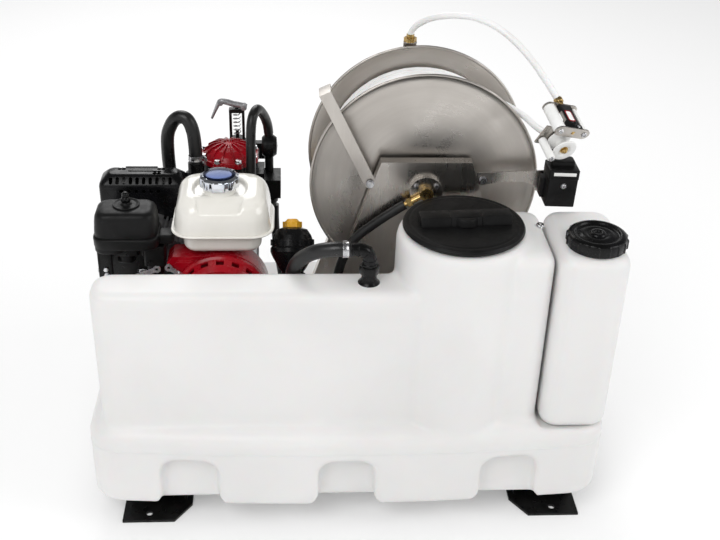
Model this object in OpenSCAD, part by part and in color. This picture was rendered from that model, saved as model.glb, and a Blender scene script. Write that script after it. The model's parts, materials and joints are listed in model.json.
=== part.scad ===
/* [Tank] */
// Length of the tank base, left to right
base_l = 1090; // [1060:10:1120]
// Depth of the tank base, front to back
base_d = 740; // [720:10:760]
// Height of the tank's underside above the ground
base_z = 65; // [60:1:70]
// Height of the low deck that carries the engine and the reel
deck_z = 250; // [240:2:256]
// Height of the ledge along the front wall
wall_z = 560; // [540:5:570]
// Height of the round filler tower
tower_z = 656; // [640:2:660]
// Wall thickness of the moulded tanks
tank_wall = 6; // [5:0.5:8]
// Diameter of the main lid
lid_d = 243; // [236:1:248]
// Diameter of the rinse tank's cap
rinse_cap_d = 122; // [116:1:124]

/* [Engine] */
// Length of the fuel tank's flange, left to right
fuel_l = 214; // [205:1:225]
// Centre of the crankshaft, from the left-right centre plane
crank_x = -280; // [-284:1:-276]
// Height of the crankshaft
crank_z = 440; // [438:1:442]

/* [Hose reel] */
// Diameter of the reel's flanges
reel_d = 480; // [470:2:486]
// Width between the reel's flanges
reel_w = 170; // [164:1:172]
// Diameter of the spray hose
hose_d = 14; // [12:0.5:15]
// Turns in the outer layer of hose
turns = 10; // [8:1:10]
// Diameter of the reel's axle
axle_d = 30; // [28:0.5:32]

/* [Hidden] */
$fn = 64;

gap = 0.4;

// Places that several pieces share
lid_x = 208;
lid_y = -223;
neck_r = 105;
neck_bore_r = 98;
tower_r = 132;
cap_x = 464;
cap_y = -271;
rinse_z = 645;
reel_x = 146;
reel_z = 672;
reel_front = -50;
reel_back = reel_front + reel_w + 4;
stand_y = -85;
rear_stand_y = reel_back + 33;
sheet = 2.5;
drum_r = 150;
wind_r = 200;

// A closed tube swept along a list of points. Each ring is turned as little as
// possible from the one before it, so the tube never twists.
function unit(v) = v / norm(v);
function tangents(p) = [for (i = [0:len(p) - 1])
    unit(p[min(i + 1, len(p) - 1)] - p[max(i - 1, 0)])];
function side_of(t) = unit(cross(t, abs(t.z) < 0.9 ? [0, 0, 1] : [1, 0, 0]));
function frames(t, i = 0, s = undef, out = []) = i == len(t) ? out :
    let (now = i == 0 ? side_of(t[0]) : unit(s - (s * t[i]) * t[i]))
    frames(t, i + 1, now, concat(out, [now]));
module tube(path, d, sides = 10, t_ends = []) {
    t0 = tangents(path);
    last = len(path) - 1;
    t = [for (i = [0:last])
        len(t_ends) == 2 && i == 0 ? t_ends[0] : len(t_ends) == 2 && i == last ? t_ends[1] : t0[i]];
    s = frames(t);
    points = [for (i = [0:last], k = [0:sides - 1])
        let (a = 360 * k / sides) path[i] + d / 2 * (cos(a) * s[i] + sin(a) * cross(t[i], s[i]))];
    body = [for (i = [0:last - 1], k = [0:sides - 1], half = [0, 1])
        let (m = (k + 1) % sides, a = i * sides, b = a + sides)
        half == 0 ? [a + k, b + k, b + m] : [a + k, b + m, a + m]];
    caps = [[for (k = [0:sides - 1]) k], [for (k = [sides - 1:-1:0]) last * sides + k]];
    polyhedron(points, concat(body, caps), convexity = 6);
}

// Smooth route through hand-chosen points, a few rings to each stretch
function spline(p, n) = concat([for (i = [0:len(p) - 2], j = [0:n - 1])
    let (a = p[max(i - 1, 0)], b = p[i], c = p[i + 1], d = p[min(i + 2, len(p) - 1)], u = j / n)
    0.5 * (2 * b + (c - a) * u + (2 * a - 5 * b + 4 * c - d) * u * u
        + (3 * b - a - 3 * c + d) * u * u * u)], [p[len(p) - 1]]);

// A box with round upright edges and its own edge rounding at the top and bottom
module soft_box(low, high, r, edge) {
    hull()
        for (x = [low.x + r, high.x - r], y = [low.y + r, high.y - r])
            translate([x, y, low.z])
                rotate_extrude($fn = 32)
                    soft_corner(r, high.z - low.z, edge);
}
module soft_corner(r, h, edge) {
    polygon([[0, 0], for (a = [-90:22.5:0]) [r - edge + edge * cos(a), edge + edge * sin(a)],
        for (a = [0:22.5:90]) [r - edge + edge * cos(a), h - edge + edge * sin(a)], [0, h]]);
}
module post(x, y, z, d, h) { translate([x, y, z]) cylinder(d = d, h = h); }
module along_y(x, y, z) { translate([x, y, z]) rotate([-90, 0, 0]) children(); }
module along_x(x, y, z) { translate([x, y, z]) rotate([0, 90, 0]) children(); }
module hex(d, h) { cylinder(d = d / cos(30), h = h, $fn = 6); }
module bolt_head(d, h) {
    hex(d, h);
    translate([0, 0, -1.5]) cylinder(d = d * 1.35, h = 1.5);
}
module ring(r_out, r_in, h) {
    difference() {
        cylinder(r = r_out, h = h);
        translate([0, 0, -1]) cylinder(r = r_in, h = h + 2);
    }
}

// ---- Tanks ----
pocket_z = 238;
seam_x = 383;
notch_pitch = 335;
notch_l = 117;
notch_z = 181;
bow = 20;
notch_d = 28;
fitting_x = 20;
fitting_y = -275;
edge_inset = 12;

module notch_outline(extra = 0) {
    half = notch_l / 2 + extra;
    top = notch_z - base_z + extra;
    corner = 26;
    polygon([[-half - 14, -2], [half + 14, -2], [half, 20], [half, top - corner],
        [-half, top - corner], [-half, 20]]);
    translate([-half + corner, 0]) square([2 * (half - corner), top]);
    for (s = [-1, 1]) translate([s * (half - corner), top - corner]) circle(corner);
}
module notches(extra = 0) {
    for (i = [-1:1], s = [-1, 1])
        translate([i * notch_pitch - 10 - 8 * (1 - abs(i)), s * (base_d / 2 - 10), base_z])
            rotate([90, 0, 0])
                translate([0, 0, -notch_d - extra])
                    linear_extrude(2 * (notch_d + extra)) notch_outline(extra);
}
// The base is a little deeper in the middle than at its ends
module base_outline() {
    hull()
        for (x = [-1:1], y = [-1, 1])
            translate([x * (base_l / 2 - 70), y * (base_d / 2 - 70 - bow * abs(x)), base_z])
                children();
}
module tower(r, z0, z1, edge) {
    translate([lid_x, lid_y, z0])
        rotate_extrude()
            polygon([[0, 0], [r + 3, 0], [r, z1 - z0 - edge], [r - edge * 0.3, z1 - z0 - edge * 0.3],
                [r - edge, z1 - z0], [0, z1 - z0]]);
}
module tower_fillets() {
    translate([0, 0, deck_z - 12])
        linear_extrude(wall_z - deck_z - 30)
            offset(r = -60) offset(delta = 60) {
                translate([lid_x, lid_y]) circle(tower_r, $fn = 48);
                translate([-300, -325]) square([seam_x + 290, 97]);
            }
}
module main_tank() {
    color("whitesmoke")
    difference() {
        union() {
            base_outline() rotate_extrude($fn = 32) soft_corner(70, deck_z - base_z, 34);
            soft_box([-523, -325, 200], [seam_x - 2, -228, wall_z], 40, 30);
            soft_box([240, -322, 200], [seam_x - 2, -105, rinse_z - 3], 32, 26);
            tower_fillets();
            tower(tower_r, 240, tower_z, 16);
        }
        notches();
        translate([seam_x, -340, pocket_z]) cube([170, 232, 60]);
        main_cavity();
        post(lid_x, lid_y, tower_z - 60, 2 * neck_r, 80);
        post(fitting_x, fitting_y, wall_z - 40, 34, 60);
    }
}
module main_cavity() {
    in = edge_inset;
    difference() {
        base_outline() post(0, 0, in, 140 - 2 * in, deck_z - base_z - 2 * in, $fn = 24);
        notches(tank_wall);
        translate([seam_x - 8, -348, pocket_z - 8]) cube([190, 250, 60]);
    }
    translate([-523 + in, -325 + in, deck_z - 20])
        cube([seam_x + 523 - 2 * in - 4, 97 - 2 * in, wall_z - deck_z + 20 - in]);
    translate([256, -322 + in, deck_z - 20])
        cube([seam_x - 256 - in - 4, 217 - 2 * in, rinse_z - deck_z + 4 - in]);
    post(lid_x, lid_y, deck_z - 20, 2 * (tower_r - tank_wall - 2), tower_z - deck_z + 20 - 18);
}
module neck_ring() {
    color("dimgray")
    translate([lid_x, lid_y, 0]) {
        translate([0, 0, tower_z - 30]) ring(neck_r - 0.1, neck_bore_r, 40);
        translate([0, 0, tower_z]) ring(neck_r + 9, neck_r - 0.2, 4);
    }
}
module basket_strainer() {
    depth = 150;
    r = neck_bore_r - 4;
    color("lightgray")
    translate([lid_x, lid_y, tower_z - depth]) {
        difference() {
            cylinder(r1 = r - 14, r2 = r - 6, h = depth + 8);
            translate([0, 0, 3]) cylinder(r1 = r - 17, r2 = r - 9, h = depth + 8);
            for (a = [0:30:330])
                rotate(a) translate([r - 40, -8, 24]) cube([60, 16, depth - 50]);
        }
        translate([0, 0, depth + 10]) ring(neck_r - 1, r - 10, 3);
        translate([0, 0, depth + 4]) ring(neck_bore_r - 1, r - 9, 6.2);
    }
}
module main_lid() {
    color("black")
    translate([lid_x, lid_y, 0]) {
        difference() {
            translate([0, 0, tower_z + 5])
                rotate_extrude()
                    polygon([[0, 11], [lid_d / 2 - 14, 11], [lid_d / 2 - 4, 8.5], [lid_d / 2 - 2, 6],
                        [lid_d / 2, 4], [lid_d / 2, 0], [0, 0]]);
            translate([0, 0, tower_z]) cylinder(r = neck_r + 0.5, h = 13.6);
        }
        translate([0, 0, tower_z + 15.9]) rotate(4) lid_handle();
    }
}
module lid_handle() {
    for (x = [-90, -30, 32])
        translate([x, 0, 0])
            rotate([90, 0, 90])
                linear_extrude(x == -30 ? 62 : 60)
                    polygon([[-25, 0], [-17, 20], [15, 20], [24, 0]]);
    translate([1, -8, 0]) cylinder(r = 27, h = 19);
}
module rinse_tank() {
    low = [seam_x + 3, -338, pocket_z + gap];
    high = [529, -112, rinse_z];
    in = edge_inset;
    color("whitesmoke")
    difference() {
        union() {
            soft_box(low, high, 30, 26);
            post(cap_x, cap_y, rinse_z - 20, 96, 26);
        }
        translate(low + [in, in, in]) cube(high - low - 2 * [in, in, in]);
        post(cap_x, cap_y, rinse_z - 40, 80, 60);
    }
}
module rinse_cap() {
    ribs = 36;
    r = rinse_cap_d / 2;
    color("black")
    translate([cap_x, cap_y, rinse_z + 1]) {
        difference() {
            union() {
                rotate_extrude()
                    polygon([[0, 0], [r - 2, 0], [r - 2, 22], [r - 6, 27], [r - 12, 28], [r - 16, 25],
                        [0, 31]]);
                for (i = [0:ribs - 1])
                    rotate(360 * i / ribs) translate([r - 4, -1.6, 1]) cube([4, 3.2, 20]);
            }
            translate([0, 0, -1]) cylinder(r = 48.6, h = 18);
        }
    }
}

// ---- Skids ----
skid_l = 680;
skid_bolt_y = 318;
module skid(x0, x1, narrow) {
    depth = skid_l / 2;
    inner = narrow < 0 ? x1 + 35 : x0 - 35;
    outer = narrow < 0 ? x0 : x1;
    near = narrow < 0 ? x1 : x0;
    color("black") {
        difference() {
            linear_extrude(6)
                polygon([[outer, -depth], [near, -depth], [inner, -depth + 51], [inner, depth - 51],
                    [near, depth], [outer, depth]]);
            for (s = [-1, 1]) post((x0 + x1) / 2, s * skid_bolt_y, -1, 14, 10);
        }
        for (x = [min(outer, inner) + 12, max(outer, inner) - 18])
            translate([x, -depth + 62, 5.9]) cube([6, 2 * depth - 124, base_z - 10.9]);
        translate([min(outer, inner) + 12, -depth + 62, base_z - 5])
            cube([max(outer, inner) - min(outer, inner) - 24, 2 * depth - 124, 5]);
    }
}
module left_skid() { skid(-497, -386, -1); }
module right_skid() { skid(386, 497, 1); }

// ---- Engine ----
engine_foot_z = 334;
fan_back = -62;
fan_front = -124;
recoil_front = -166;
fuel_x = crank_x + 5;
fuel_y = -50;
fuel_flange_z = 584;
fuel_top = 668;
cyl_tilt = 25;

module engine_plate() {
    x0 = -506;
    x1 = -160;
    y0 = -176;
    y1 = 130;
    rail = engine_foot_z - deck_z - 0.6;
    color("black")
    difference() {
        union() {
            translate([x0, y0, engine_foot_z - 6]) cube([x1 - x0, y1 - y0, 5.8]);
            for (x = [x0, x1 - 5]) translate([x, y0, deck_z + 0.2]) cube([5, y1 - y0, rail]);
            for (x = [x0, x1 - 34]) translate([x, y0, deck_z + 0.2]) cube([34, y1 - y0, 5]);
        }
        for (x = [-81, 81], y = [-38, 38]) post(crank_x + x, y, engine_foot_z - 10, 9, 20);
    }
}
module cylinder_axis() {
    translate([crank_x, 0, crank_z]) rotate([0, -90 + cyl_tilt, 0]) children();
}
module crankcase() {
    fins = 9;
    color("silver") {
        difference() {
            union() {
                translate([crank_x - 95, -58, engine_foot_z]) cube([190, 116, 14]);
                translate([crank_x - 74, -60, engine_foot_z + 6]) cube([148, 124, 120]);
                along_y(crank_x, -60, crank_z) cylinder(r = 74, h = 124);
                along_y(crank_x, 63.9, crank_z) cylinder(r = 58, h = 26);
                cylinder_axis() translate([-34, -38, 40]) cube([68, 76, 130]);
                along_y(crank_x, 60, crank_z) cylinder(d = 19.05, h = 30);
            }
            for (x = [-81, 81], y = [-38, 38]) post(crank_x + x, y, engine_foot_z - 1, 9, 16);
        }
        cylinder_axis()
            for (i = [0:fins - 1])
                translate([-41, -46, 82 + 9 * i]) cube([82, 92, 3.5]);
        cylinder_axis() translate([-40, -42, 164]) cube([80, 84, 20]);
    }
}
module fan_outline(inset = 0) {
    translate([crank_x, crank_z]) circle(99 - inset);
    polygon([[-392 + inset, 430 + inset], [-392 + inset, 518 - inset], [-380 + inset, 531 - inset],
        [-296, 534 - inset], [crank_x, crank_z], [-330, 410]]);
}
module fan_cover() {
    depth = fan_front - fan_back;
    color("firebrick")
    difference() {
        union() {
            translate([0, fan_back, 0]) rotate([90, 0, 0]) linear_extrude(-depth - 8) fan_outline();
            translate([0, fan_front + 8.1, 0]) rotate([90, 0, 0]) linear_extrude(8) fan_outline(9);
        }
        translate([0, fan_back + 1, 0]) rotate([90, 0, 0]) linear_extrude(-depth - 4) fan_outline(12);
        translate([-376, fan_front - 1, 478]) cube([44, 6, 14]);
    }
}
module recoil_cover() {
    h = fan_front - recoil_front - 0.4;
    color("red")
    along_y(crank_x, fan_front - 0.1, crank_z)
        mirror([0, 0, 1])
            difference() {
                rotate_extrude()
                    polygon([[0, 0], [101, 0], [101, 8], [96, 12], [92, h - 10], [84, h], [34, h],
                        [30, h - 5], [0, h - 5]]);
                translate([0, 0, -1])
                    rotate_extrude()
                        polygon([[0, 0], [95, 0], [88, h - 12], [82, h - 3], [38, h - 3], [34, h - 8],
                            [0, h - 8]]);
                for (a = [0:20:340])
                    rotate(a + 10) {
                        translate([46, -7, h - 8]) cube([26, 14, 20]);
                        translate([84, -8, 14]) cube([20, 16, h - 28]);
                    }
            }
    color("red")
    translate([-206, -186, 463]) cube([20, 36, 14]);
}
module starter_grip() {
    color("black")
    translate([-196, -177, 501]) {
        for (x = [-1, 1]) translate([x * 14, 9, 0]) rotate([90, 0, 0]) cylinder(d = 17, h = 18);
        translate([-14, -9, -8.5]) cube([28, 18, 17]);
        translate([0, 0, -23.6]) cylinder(d = 9, h = 18);
    }
}
module fuel_slab(z, inset, h, r) {
    d = 180;
    translate([fuel_x - fuel_l / 2 + inset, fuel_y - d / 2 + inset, z])
        linear_extrude(h)
            hull()
                for (x = [r, fuel_l - 2 * inset - r], y = [r, d - 2 * inset - r])
                    translate([x, y]) circle(r, $fn = 32);
}
module fuel_tank() {
    neck = 27;
    color("ivory")
    difference() {
        union() {
            soft_box([-357, -124, 543], [-194, 18, 588], 26, 13);
            fuel_slab(fuel_flange_z, 0, 4.5, 42);
            hull() {
                fuel_slab(fuel_flange_z + 4, 9, 14, 36);
                fuel_slab(fuel_top - 22, 24, 1, 36);
                fuel_slab(fuel_top - 6, 33, 1, 32);
                fuel_slab(fuel_top, 46, 1, 24);
            }
            post(crank_x, -60, fuel_top - 6, 66, 14);
        }
        post(crank_x, -60, 640, 2 * neck, 60);
        translate([-340, -98, 552]) cube([130, 96, fuel_top - 564]);
    }
}
module fuel_cap() {
    lobes = 12;
    r = 42;
    color("silver")
    translate([crank_x, -60, fuel_top + 3]) {
        difference() {
            union() {
                cylinder(r = r - 4, h = 22);
                for (i = [0:lobes - 1])
                    rotate(360 * i / lobes) translate([r - 11, 0, 0]) cylinder(r = 10, h = 20, $fn = 24);
                translate([0, 0, 21]) cylinder(r1 = r - 5, r2 = r - 12, h = 4);
            }
            translate([0, 0, -1]) cylinder(r = 33.5, h = 16);
        }
    }
}
module air_cleaner() {
    color("black") {
        soft_box([-534, -142, 588], [-408, -54, 646], 24, 14);
        soft_box([-538, -146, 554.6], [-404, -50, 587.9], 26, 6);
        post(-470, -92, 642, 48, 9);
        translate([-404.5, -116, 562]) cube([30, 36, 20]);
    }
}
module air_cleaner_knob() {
    color("black")
    translate([-470, -92, 651.3]) {
        cylinder(d = 20, h = 9);
        for (a = [0:60:300]) rotate(a) translate([9, 0, 0]) cylinder(d = 6, h = 10, $fn = 24);
        translate([0, 0, 9]) cylinder(r1 = 9, r2 = 5, h = 11);
        translate([0, 0, 20]) sphere(r = 5);
    }
}
module muffler() {
    color("dimgray") {
        translate([-524, 58, 508]) cube([142, 50, 108]);
        along_y(-452, 54, 566) cylinder(r = 50, h = 58);
        along_y(-432, 46.2, 532) cylinder(d = 28, h = 24);
    }
}
module guard_outline(inset = 0) {
    polygon([[-544 + inset, 492 + inset], [-544 + inset, 600], [-520 + inset * 0.6, 636 - inset],
        [-384 - inset * 0.6, 636 - inset], [-360 - inset, 600], [-360 - inset, 492 + inset]]);
}
module muffler_guard() {
    y0 = 47;
    y1 = 117;
    color("black")
    difference() {
        translate([0, y1, 0]) rotate([90, 0, 0]) linear_extrude(y1 - y0) guard_outline();
        translate([0, y1 - 2.5, 0]) rotate([90, 0, 0]) linear_extrude(y1 - y0 - 5) guard_outline(2.5);
        translate([-530, y0 - 1, 480]) cube([156, y1 - y0 - 8, 60]);
        for (i = [0:8]) translate([-514 + i * 14, y0 - 2, 610]) cube([8, 6, 18]);
        along_y(-432, y0 - 1, 532) cylinder(d = 31, h = 5);
        for (i = [0:6], k = [0:1]) translate([-506 + i * 17, y0 - 2, 570 + k * 14]) cube([9, 6, 8]);
        for (p = [[-494, 98], [-406, 98], [-416, 68]]) post(p.x, p.y, 629, 26, 20);
        for (i = [0:3]) translate([-364, 57 + i * 14, 545]) cube([8, 8, 48]);
    }
}
module carburettor() {
    color("darkgray") {
        translate([-440, -114, 506]) cube([46, 50, 48.2]);
        post(-417, -90, 468, 42, 38.1);
        post(-417, -90, 464, 14, 6);
        along_y(-424, -64.1, 516) cylinder(d = 26, h = 17.7);
        along_x(-448, -90, 530) cylinder(d = 14, h = 10);
    }
}
module engine_lever(l, w, tip) {
    difference() {
        union() {
            cylinder(d = w * 1.5, h = 3);
            translate([0, -w / 2, 0]) cube([l, w, 3]);
            translate([l, 0, 0]) cylinder(d = w, h = 3 + tip);
        }
        translate([0, 0, -1]) cylinder(d = 6.1, h = 5);
    }
}
module throttle_lever() {
    color("silver")
    translate([-412, -132, 512]) rotate([90, 0, 0]) rotate(200) engine_lever(44, 11, 8);
}
module choke_lever() {
    color("lightgray")
    translate([-386, -140, 520]) rotate([90, 0, 0]) rotate(-35) engine_lever(26, 11, 6);
}
module engine_switch() {
    color("black")
    along_y(-386, fan_front - 8.1, 504) cylinder(d = 22, h = 8);
}
module spark_plug() {
    color("black")
    cylinder_axis() {
        translate([0, 0, 184]) cylinder(d = 14, h = 20);
        translate([0, 0, 203.9]) cylinder(d = 22, h = 20);
    }
}
module oil_filler_cap() {
    color("black")
    translate([crank_x + 88, -20, 366]) rotate([0, 60, 0]) {
        cylinder(d = 30, h = 12);
        translate([0, 0, 12]) for (a = [0, 90]) rotate(a) translate([-13, -2, 0]) cube([26, 4, 8]);
    }
}

// ---- Pump ----
pump_x = -275;
pump_y = 205;
shaft_z = 515;
head_z = 96;
pump_bolts = 8;
pump_ribs = 14;

module pump_body() {
    color("black") {
        translate([pump_x, pump_y, shaft_z - head_z]) {
            translate([0, 0, 4]) cylinder(r = 51, h = 2 * head_z - 8);
            for (z = [0, 2 * head_z - 14]) translate([0, 0, z]) pump_flange(14);
        }
        translate([crank_x, 90.4, 0]) rotate([-90, 0, 0]) {
            translate([0, -crank_z, 0]) cylinder(r = 60, h = 46);
            translate([0, -shaft_z, 0]) cylinder(r = 54, h = 72);
            translate([-50, -shaft_z, 0]) cube([100, shaft_z - crank_z, 44]);
        }
        translate([pump_x + 38, pump_y - 34, shaft_z + 8]) cube([80, 68, 46]);
        translate([pump_x + 37, pump_y - 32, shaft_z + 50]) cube([43, 66, 20]);
        translate([-322, 149, 522]) cube([34, 32, 50]);
        translate([reg_x - 12, pump_y + 36, 560]) cube([24, 21.5, 36]);
        post(-222, 122, 512, 28, 53);
        post(-188, 226, 480, 40, 50);
        post(-188, 226, 492, 48, 9);
    }
}
module pump_flange(h) {
    cylinder(r = 66, h = h);
    for (i = [0:pump_bolts - 1])
        rotate(360 * (i + 0.5) / pump_bolts) translate([62, 0, 0.6]) cylinder(r = 10, h = h - 1.2, $fn = 32);
}
module pump_head() {
    difference() {
        union() {
            pump_flange(12);
            rotate_extrude()
                polygon([[0, 1], [60, 1], [60, 13], [52, 22], [40, 30], [24, 35], [0, 38]]);
            for (i = [0:pump_ribs - 1])
                rotate(360 * i / pump_ribs)
                    translate([0, 1.5, 0])
                        rotate([90, 0, 0])
                            linear_extrude(3)
                                polygon([[12, 9], [58, 9], [58, 19], [52, 27], [39, 35], [22, 40], [12, 40]]);
        }
        for (i = [0:pump_bolts - 1])
            rotate(360 * (i + 0.5) / pump_bolts) {
                translate([62, 0, -1]) cylinder(d = 8.2, h = 20);
                translate([62, 0, 11.8]) cylinder(d = 17, h = 30);
            }
    }
}
module pump_heads() {
    color("red")
    translate([pump_x, pump_y, shaft_z]) {
        translate([0, 0, head_z + 0.1]) pump_head();
        rotate([180, 0, 0]) translate([0, 0, head_z + 0.1]) pump_head();
    }
}
module pump_head_bolts() {
    color("silver")
    translate([pump_x, pump_y, shaft_z])
        for (side = [0, 1], i = [0:pump_bolts - 1])
            mirror([0, 0, side])
                rotate(360 * (i + 0.5) / pump_bolts)
                    translate([62, 0, head_z + 0.2]) {
                        cylinder(d = 8, h = 12);
                        translate([0, 0, 11.95]) cylinder(d = 15, h = 1.5);
                        translate([0, 0, 13.4]) hex(11, 6);
                    }
}
module damper() {
    color("black") {
        along_x(-200, 226, 632)
            rotate_extrude()
                polygon([[0, 0], [20, 0], [24, 4], [26, 10], [26, 26], [20, 34], [0, 36]]);
        post(-184, 226, 569.2, 20, 42);
        post(-184, 226, 640, 20, 24);
    }
}
reg_x = -260;
reg_y = 302;
cage_z = 620;
cage_h = 66;
spring_r = 8;
spring_wire = 2.6;
spring_turns = 6;
module regulator_body() {
    color("dimgray") {
        translate([reg_x, reg_y, 560]) {
            cylinder(d = 42, h = cage_z - 566);
            translate([-24, -10, 8]) cube([88, 20, 40]);
            translate([0, 0, cage_z - 566.1]) cylinder(d = 34, h = 6);
            for (s = [-1, 1]) translate([s * 15 - 3, -8, cage_z - 562]) cube([6, 16, cage_h + 2]);
            translate([-18, -8, cage_z + cage_h - 562]) difference() {
                cube([36, 16, 9]);
                translate([18, 8, -1]) cylinder(d = 8.2, h = 12);
            }
            translate([0, 0, cage_z - 562]) cylinder(d = 8, h = 20);
        }
        translate([reg_x - 8, pump_y + 57.8, 566]) cube([16, 28, 26]);
        translate([reg_x - 46, reg_y - 6, cage_z - 14]) cube([32, 12, 8]);
    }
}
// One unbroken helix, with its least gap to itself measured on its points
module regulator_spring() {
    rings = 8;
    pitch = (cage_h - 10) / spring_turns;
    echo(str("regulator spring least gap ", sqrt(pow(pitch, 2)) - spring_wire));
    color("silver")
    translate([reg_x, reg_y, cage_z + 5.5])
        tube([for (i = [0:spring_turns * rings])
            let (a = 360 * i / rings) [spring_r * cos(a), spring_r * sin(a), pitch * i / rings]],
            spring_wire, 6);
}
arm_z = cage_z + cage_h + 9.6;
pivot_x = reg_x + 17;
module regulator_lever() {
    color("darkgray") {
        translate([0, reg_y + 6.5, 0])
            rotate([90, 0, 0])
                linear_extrude(13)
                    polygon([[pivot_x + 4, arm_z + 0.5], [pivot_x + 7, arm_z + 8], [pivot_x, arm_z + 13],
                        [reg_x - 20, arm_z + 19], [reg_x - 36, arm_z + 20], [reg_x - 40, arm_z + 14],
                        [reg_x - 32, arm_z + 9], [reg_x, arm_z + 4], [pivot_x - 10, arm_z - 1]]);
        translate([0, reg_y + 4, 0])
            rotate([90, 0, 0])
                linear_extrude(8)
                    polygon([[reg_x - 38, arm_z + 18], [reg_x - 34, arm_z + 9], [reg_x - 44, arm_z - 8],
                        [reg_x - 58, arm_z - 30], [reg_x - 62, arm_z - 30], [reg_x - 52, arm_z - 2],
                        [reg_x - 44, arm_z + 14]]);
        along_y(reg_x - 37, reg_y - 8, arm_z + 14) cylinder(d = 9, h = 16);
        along_y(pivot_x, reg_y - 9, arm_z + 2) cylinder(d = 5.6, h = 18);
    }
}
man_x = -346;
man_y = 141;
module suction_manifold() {
    color("black") {
        translate([man_x - 20, 121, 524]) cube([31, 40, 48]);
        translate([man_x - 20, 155, 530]) cube([33.7, 20, 36]);
        translate([man_x - 20, 162.6, 530]) cube([43.7, 12.4, 36]);
        translate([man_x, man_y, 571.9]) {
            cylinder(d = 42, h = 14);
            translate([0, 0, 14]) hex(40, 20);
            translate([0, 0, 34]) cylinder(d = 36, h = 22);
        }
        translate([-384, 172, deck_z + 0.2]) {
            cylinder(d = 54, h = 6);
            translate([0, 0, 6]) hex(40, 16);
            translate([0, 0, 21.9]) cylinder(d = 34, h = 12);
        }
    }
}
loop_route = [[-346, 141, 628.1], [-346, 142, 664], [-350, 147, 702], [-362, 154, 727], [-382, 161, 728],
    [-400, 167, 706], [-410, 171, 664], [-406, 171, 560], [-385, 172, 440], [-384, 172, 340],
    [-384, 172, 284.2]];
module loop_hose() { color("black") tube(spline(loop_route, 2), 30, 12, [[0, 0, 1], [0, 0, -1]]); }
bypass_route = [[-222, 122, 565.2], [-222, 123, 640], [-221, 130, 704], [-217, 144, 736],
    [-207, 172, 744], [-195, 200, 720], [-187, 219, 690], [-184, 226, 664.3]];
module bypass_hose() {
    color("black") {
        tube(spline(bypass_route, 3), 22, 10, [[0, 0, 1], [0, 0, -1]]);
    }
}

// ---- Tank outlet, suction hose and filter ----
outlet_z = wall_z + 78;
module outlet_fitting() {
    bend = 22;
    color("black")
    translate([fitting_x, fitting_y, wall_z]) {
        translate([0, 0, -38]) cylinder(d = 33.8, h = 38);
        rotate_extrude()
            polygon([[0, 0], [23, 0], [23, 5], [19, 9], [15, 16], [15, 24], [0, 24]]);
        translate([0, 0, 24]) hex(36, 20);
        translate([0, 0, 44]) cylinder(d = 27, h = 12);
        translate([-bend, 0, 56]) rotate([90, 0, 0]) rotate_extrude(angle = 90) translate([bend, 0]) circle(d = 27);
        translate([-bend, 0, 56 + bend]) rotate([0, -90, 0]) cylinder(d = 25, h = 14);
    }
}
suction_route = [[-17, -275, 638], [-46, -274, 638], [-80, -264, 628], [-106, -246, 606],
    [-122, -226, 578], [-129, -204, 544], [-130, -177, 506], [-130, -149, 482.6]];
module suction_hose() { color("black") tube(spline(suction_route, 3), 30, 12, [[-1, 0, 0], [0, 0.866, -0.5]]); }
module clamp_ring(at, dir, d) {
    translate(at) rotate([0, 0, atan2(dir.y, dir.x)]) rotate([0, acos(dir.z), 0]) {
        translate([0, 0, -6]) ring(d / 2 + 2, d / 2 + 0.6, 12);
        translate([d / 2 + 1.4, -7, -7]) cube([7, 14, 14]);
    }
}
module hose_clamps() {
    color("silver") {
        clamp_ring([-26, -275, 638], [-1, 0, 0], 30);
        clamp_ring([-346, 141.2, 641], [0, 0, 1], 30);
        clamp_ring([-384, 172, 298], [0, 0, 1], 30);
        clamp_ring([-221.8, 122, 578], [0, 0, 1], 22);
    }
}
filter_tilt = 30;
module filter_axis() { translate([-130, -128, 430]) rotate([-filter_tilt, 0, 0]) children(); }
module filter_body() {
    color("black")
    filter_axis() {
        rotate_extrude()
            polygon([[0, 0], [24, 0], [24, 62], [30, 70], [44, 96], [47, 104], [47, 112], [44, 116],
                [44, 128], [40, 140], [32, 152], [20, 156], [0, 156]]);
        for (z = [10:9:55]) translate([0, 0, z]) cylinder(r = 27, h = 4);
        for (a = [0:20:340]) rotate(a) translate([42, -2.5, 117.5]) cube([4.6, 5, 13]);
        translate([0, -20, 35]) rotate([90, 0, 0]) cylinder(d = 27, h = 23.8);
    }
}
module filter_valve_cap() {
    color("goldenrod")
    filter_axis() {
        translate([0, 0, 156.3]) hex(36, 12);
        translate([0, 0, 168.3]) cylinder(r1 = 16, r2 = 10, h = 6);
    }
}

// ---- Hose reel ----
stand_top_l = 188;
stand_lean = 0.33;
stand_top = 734;
stand_lip = 25;
shaft_front = -96.6;
stub_z = 917;
bearing_r = axle_d / 2 + 0.05;

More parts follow.
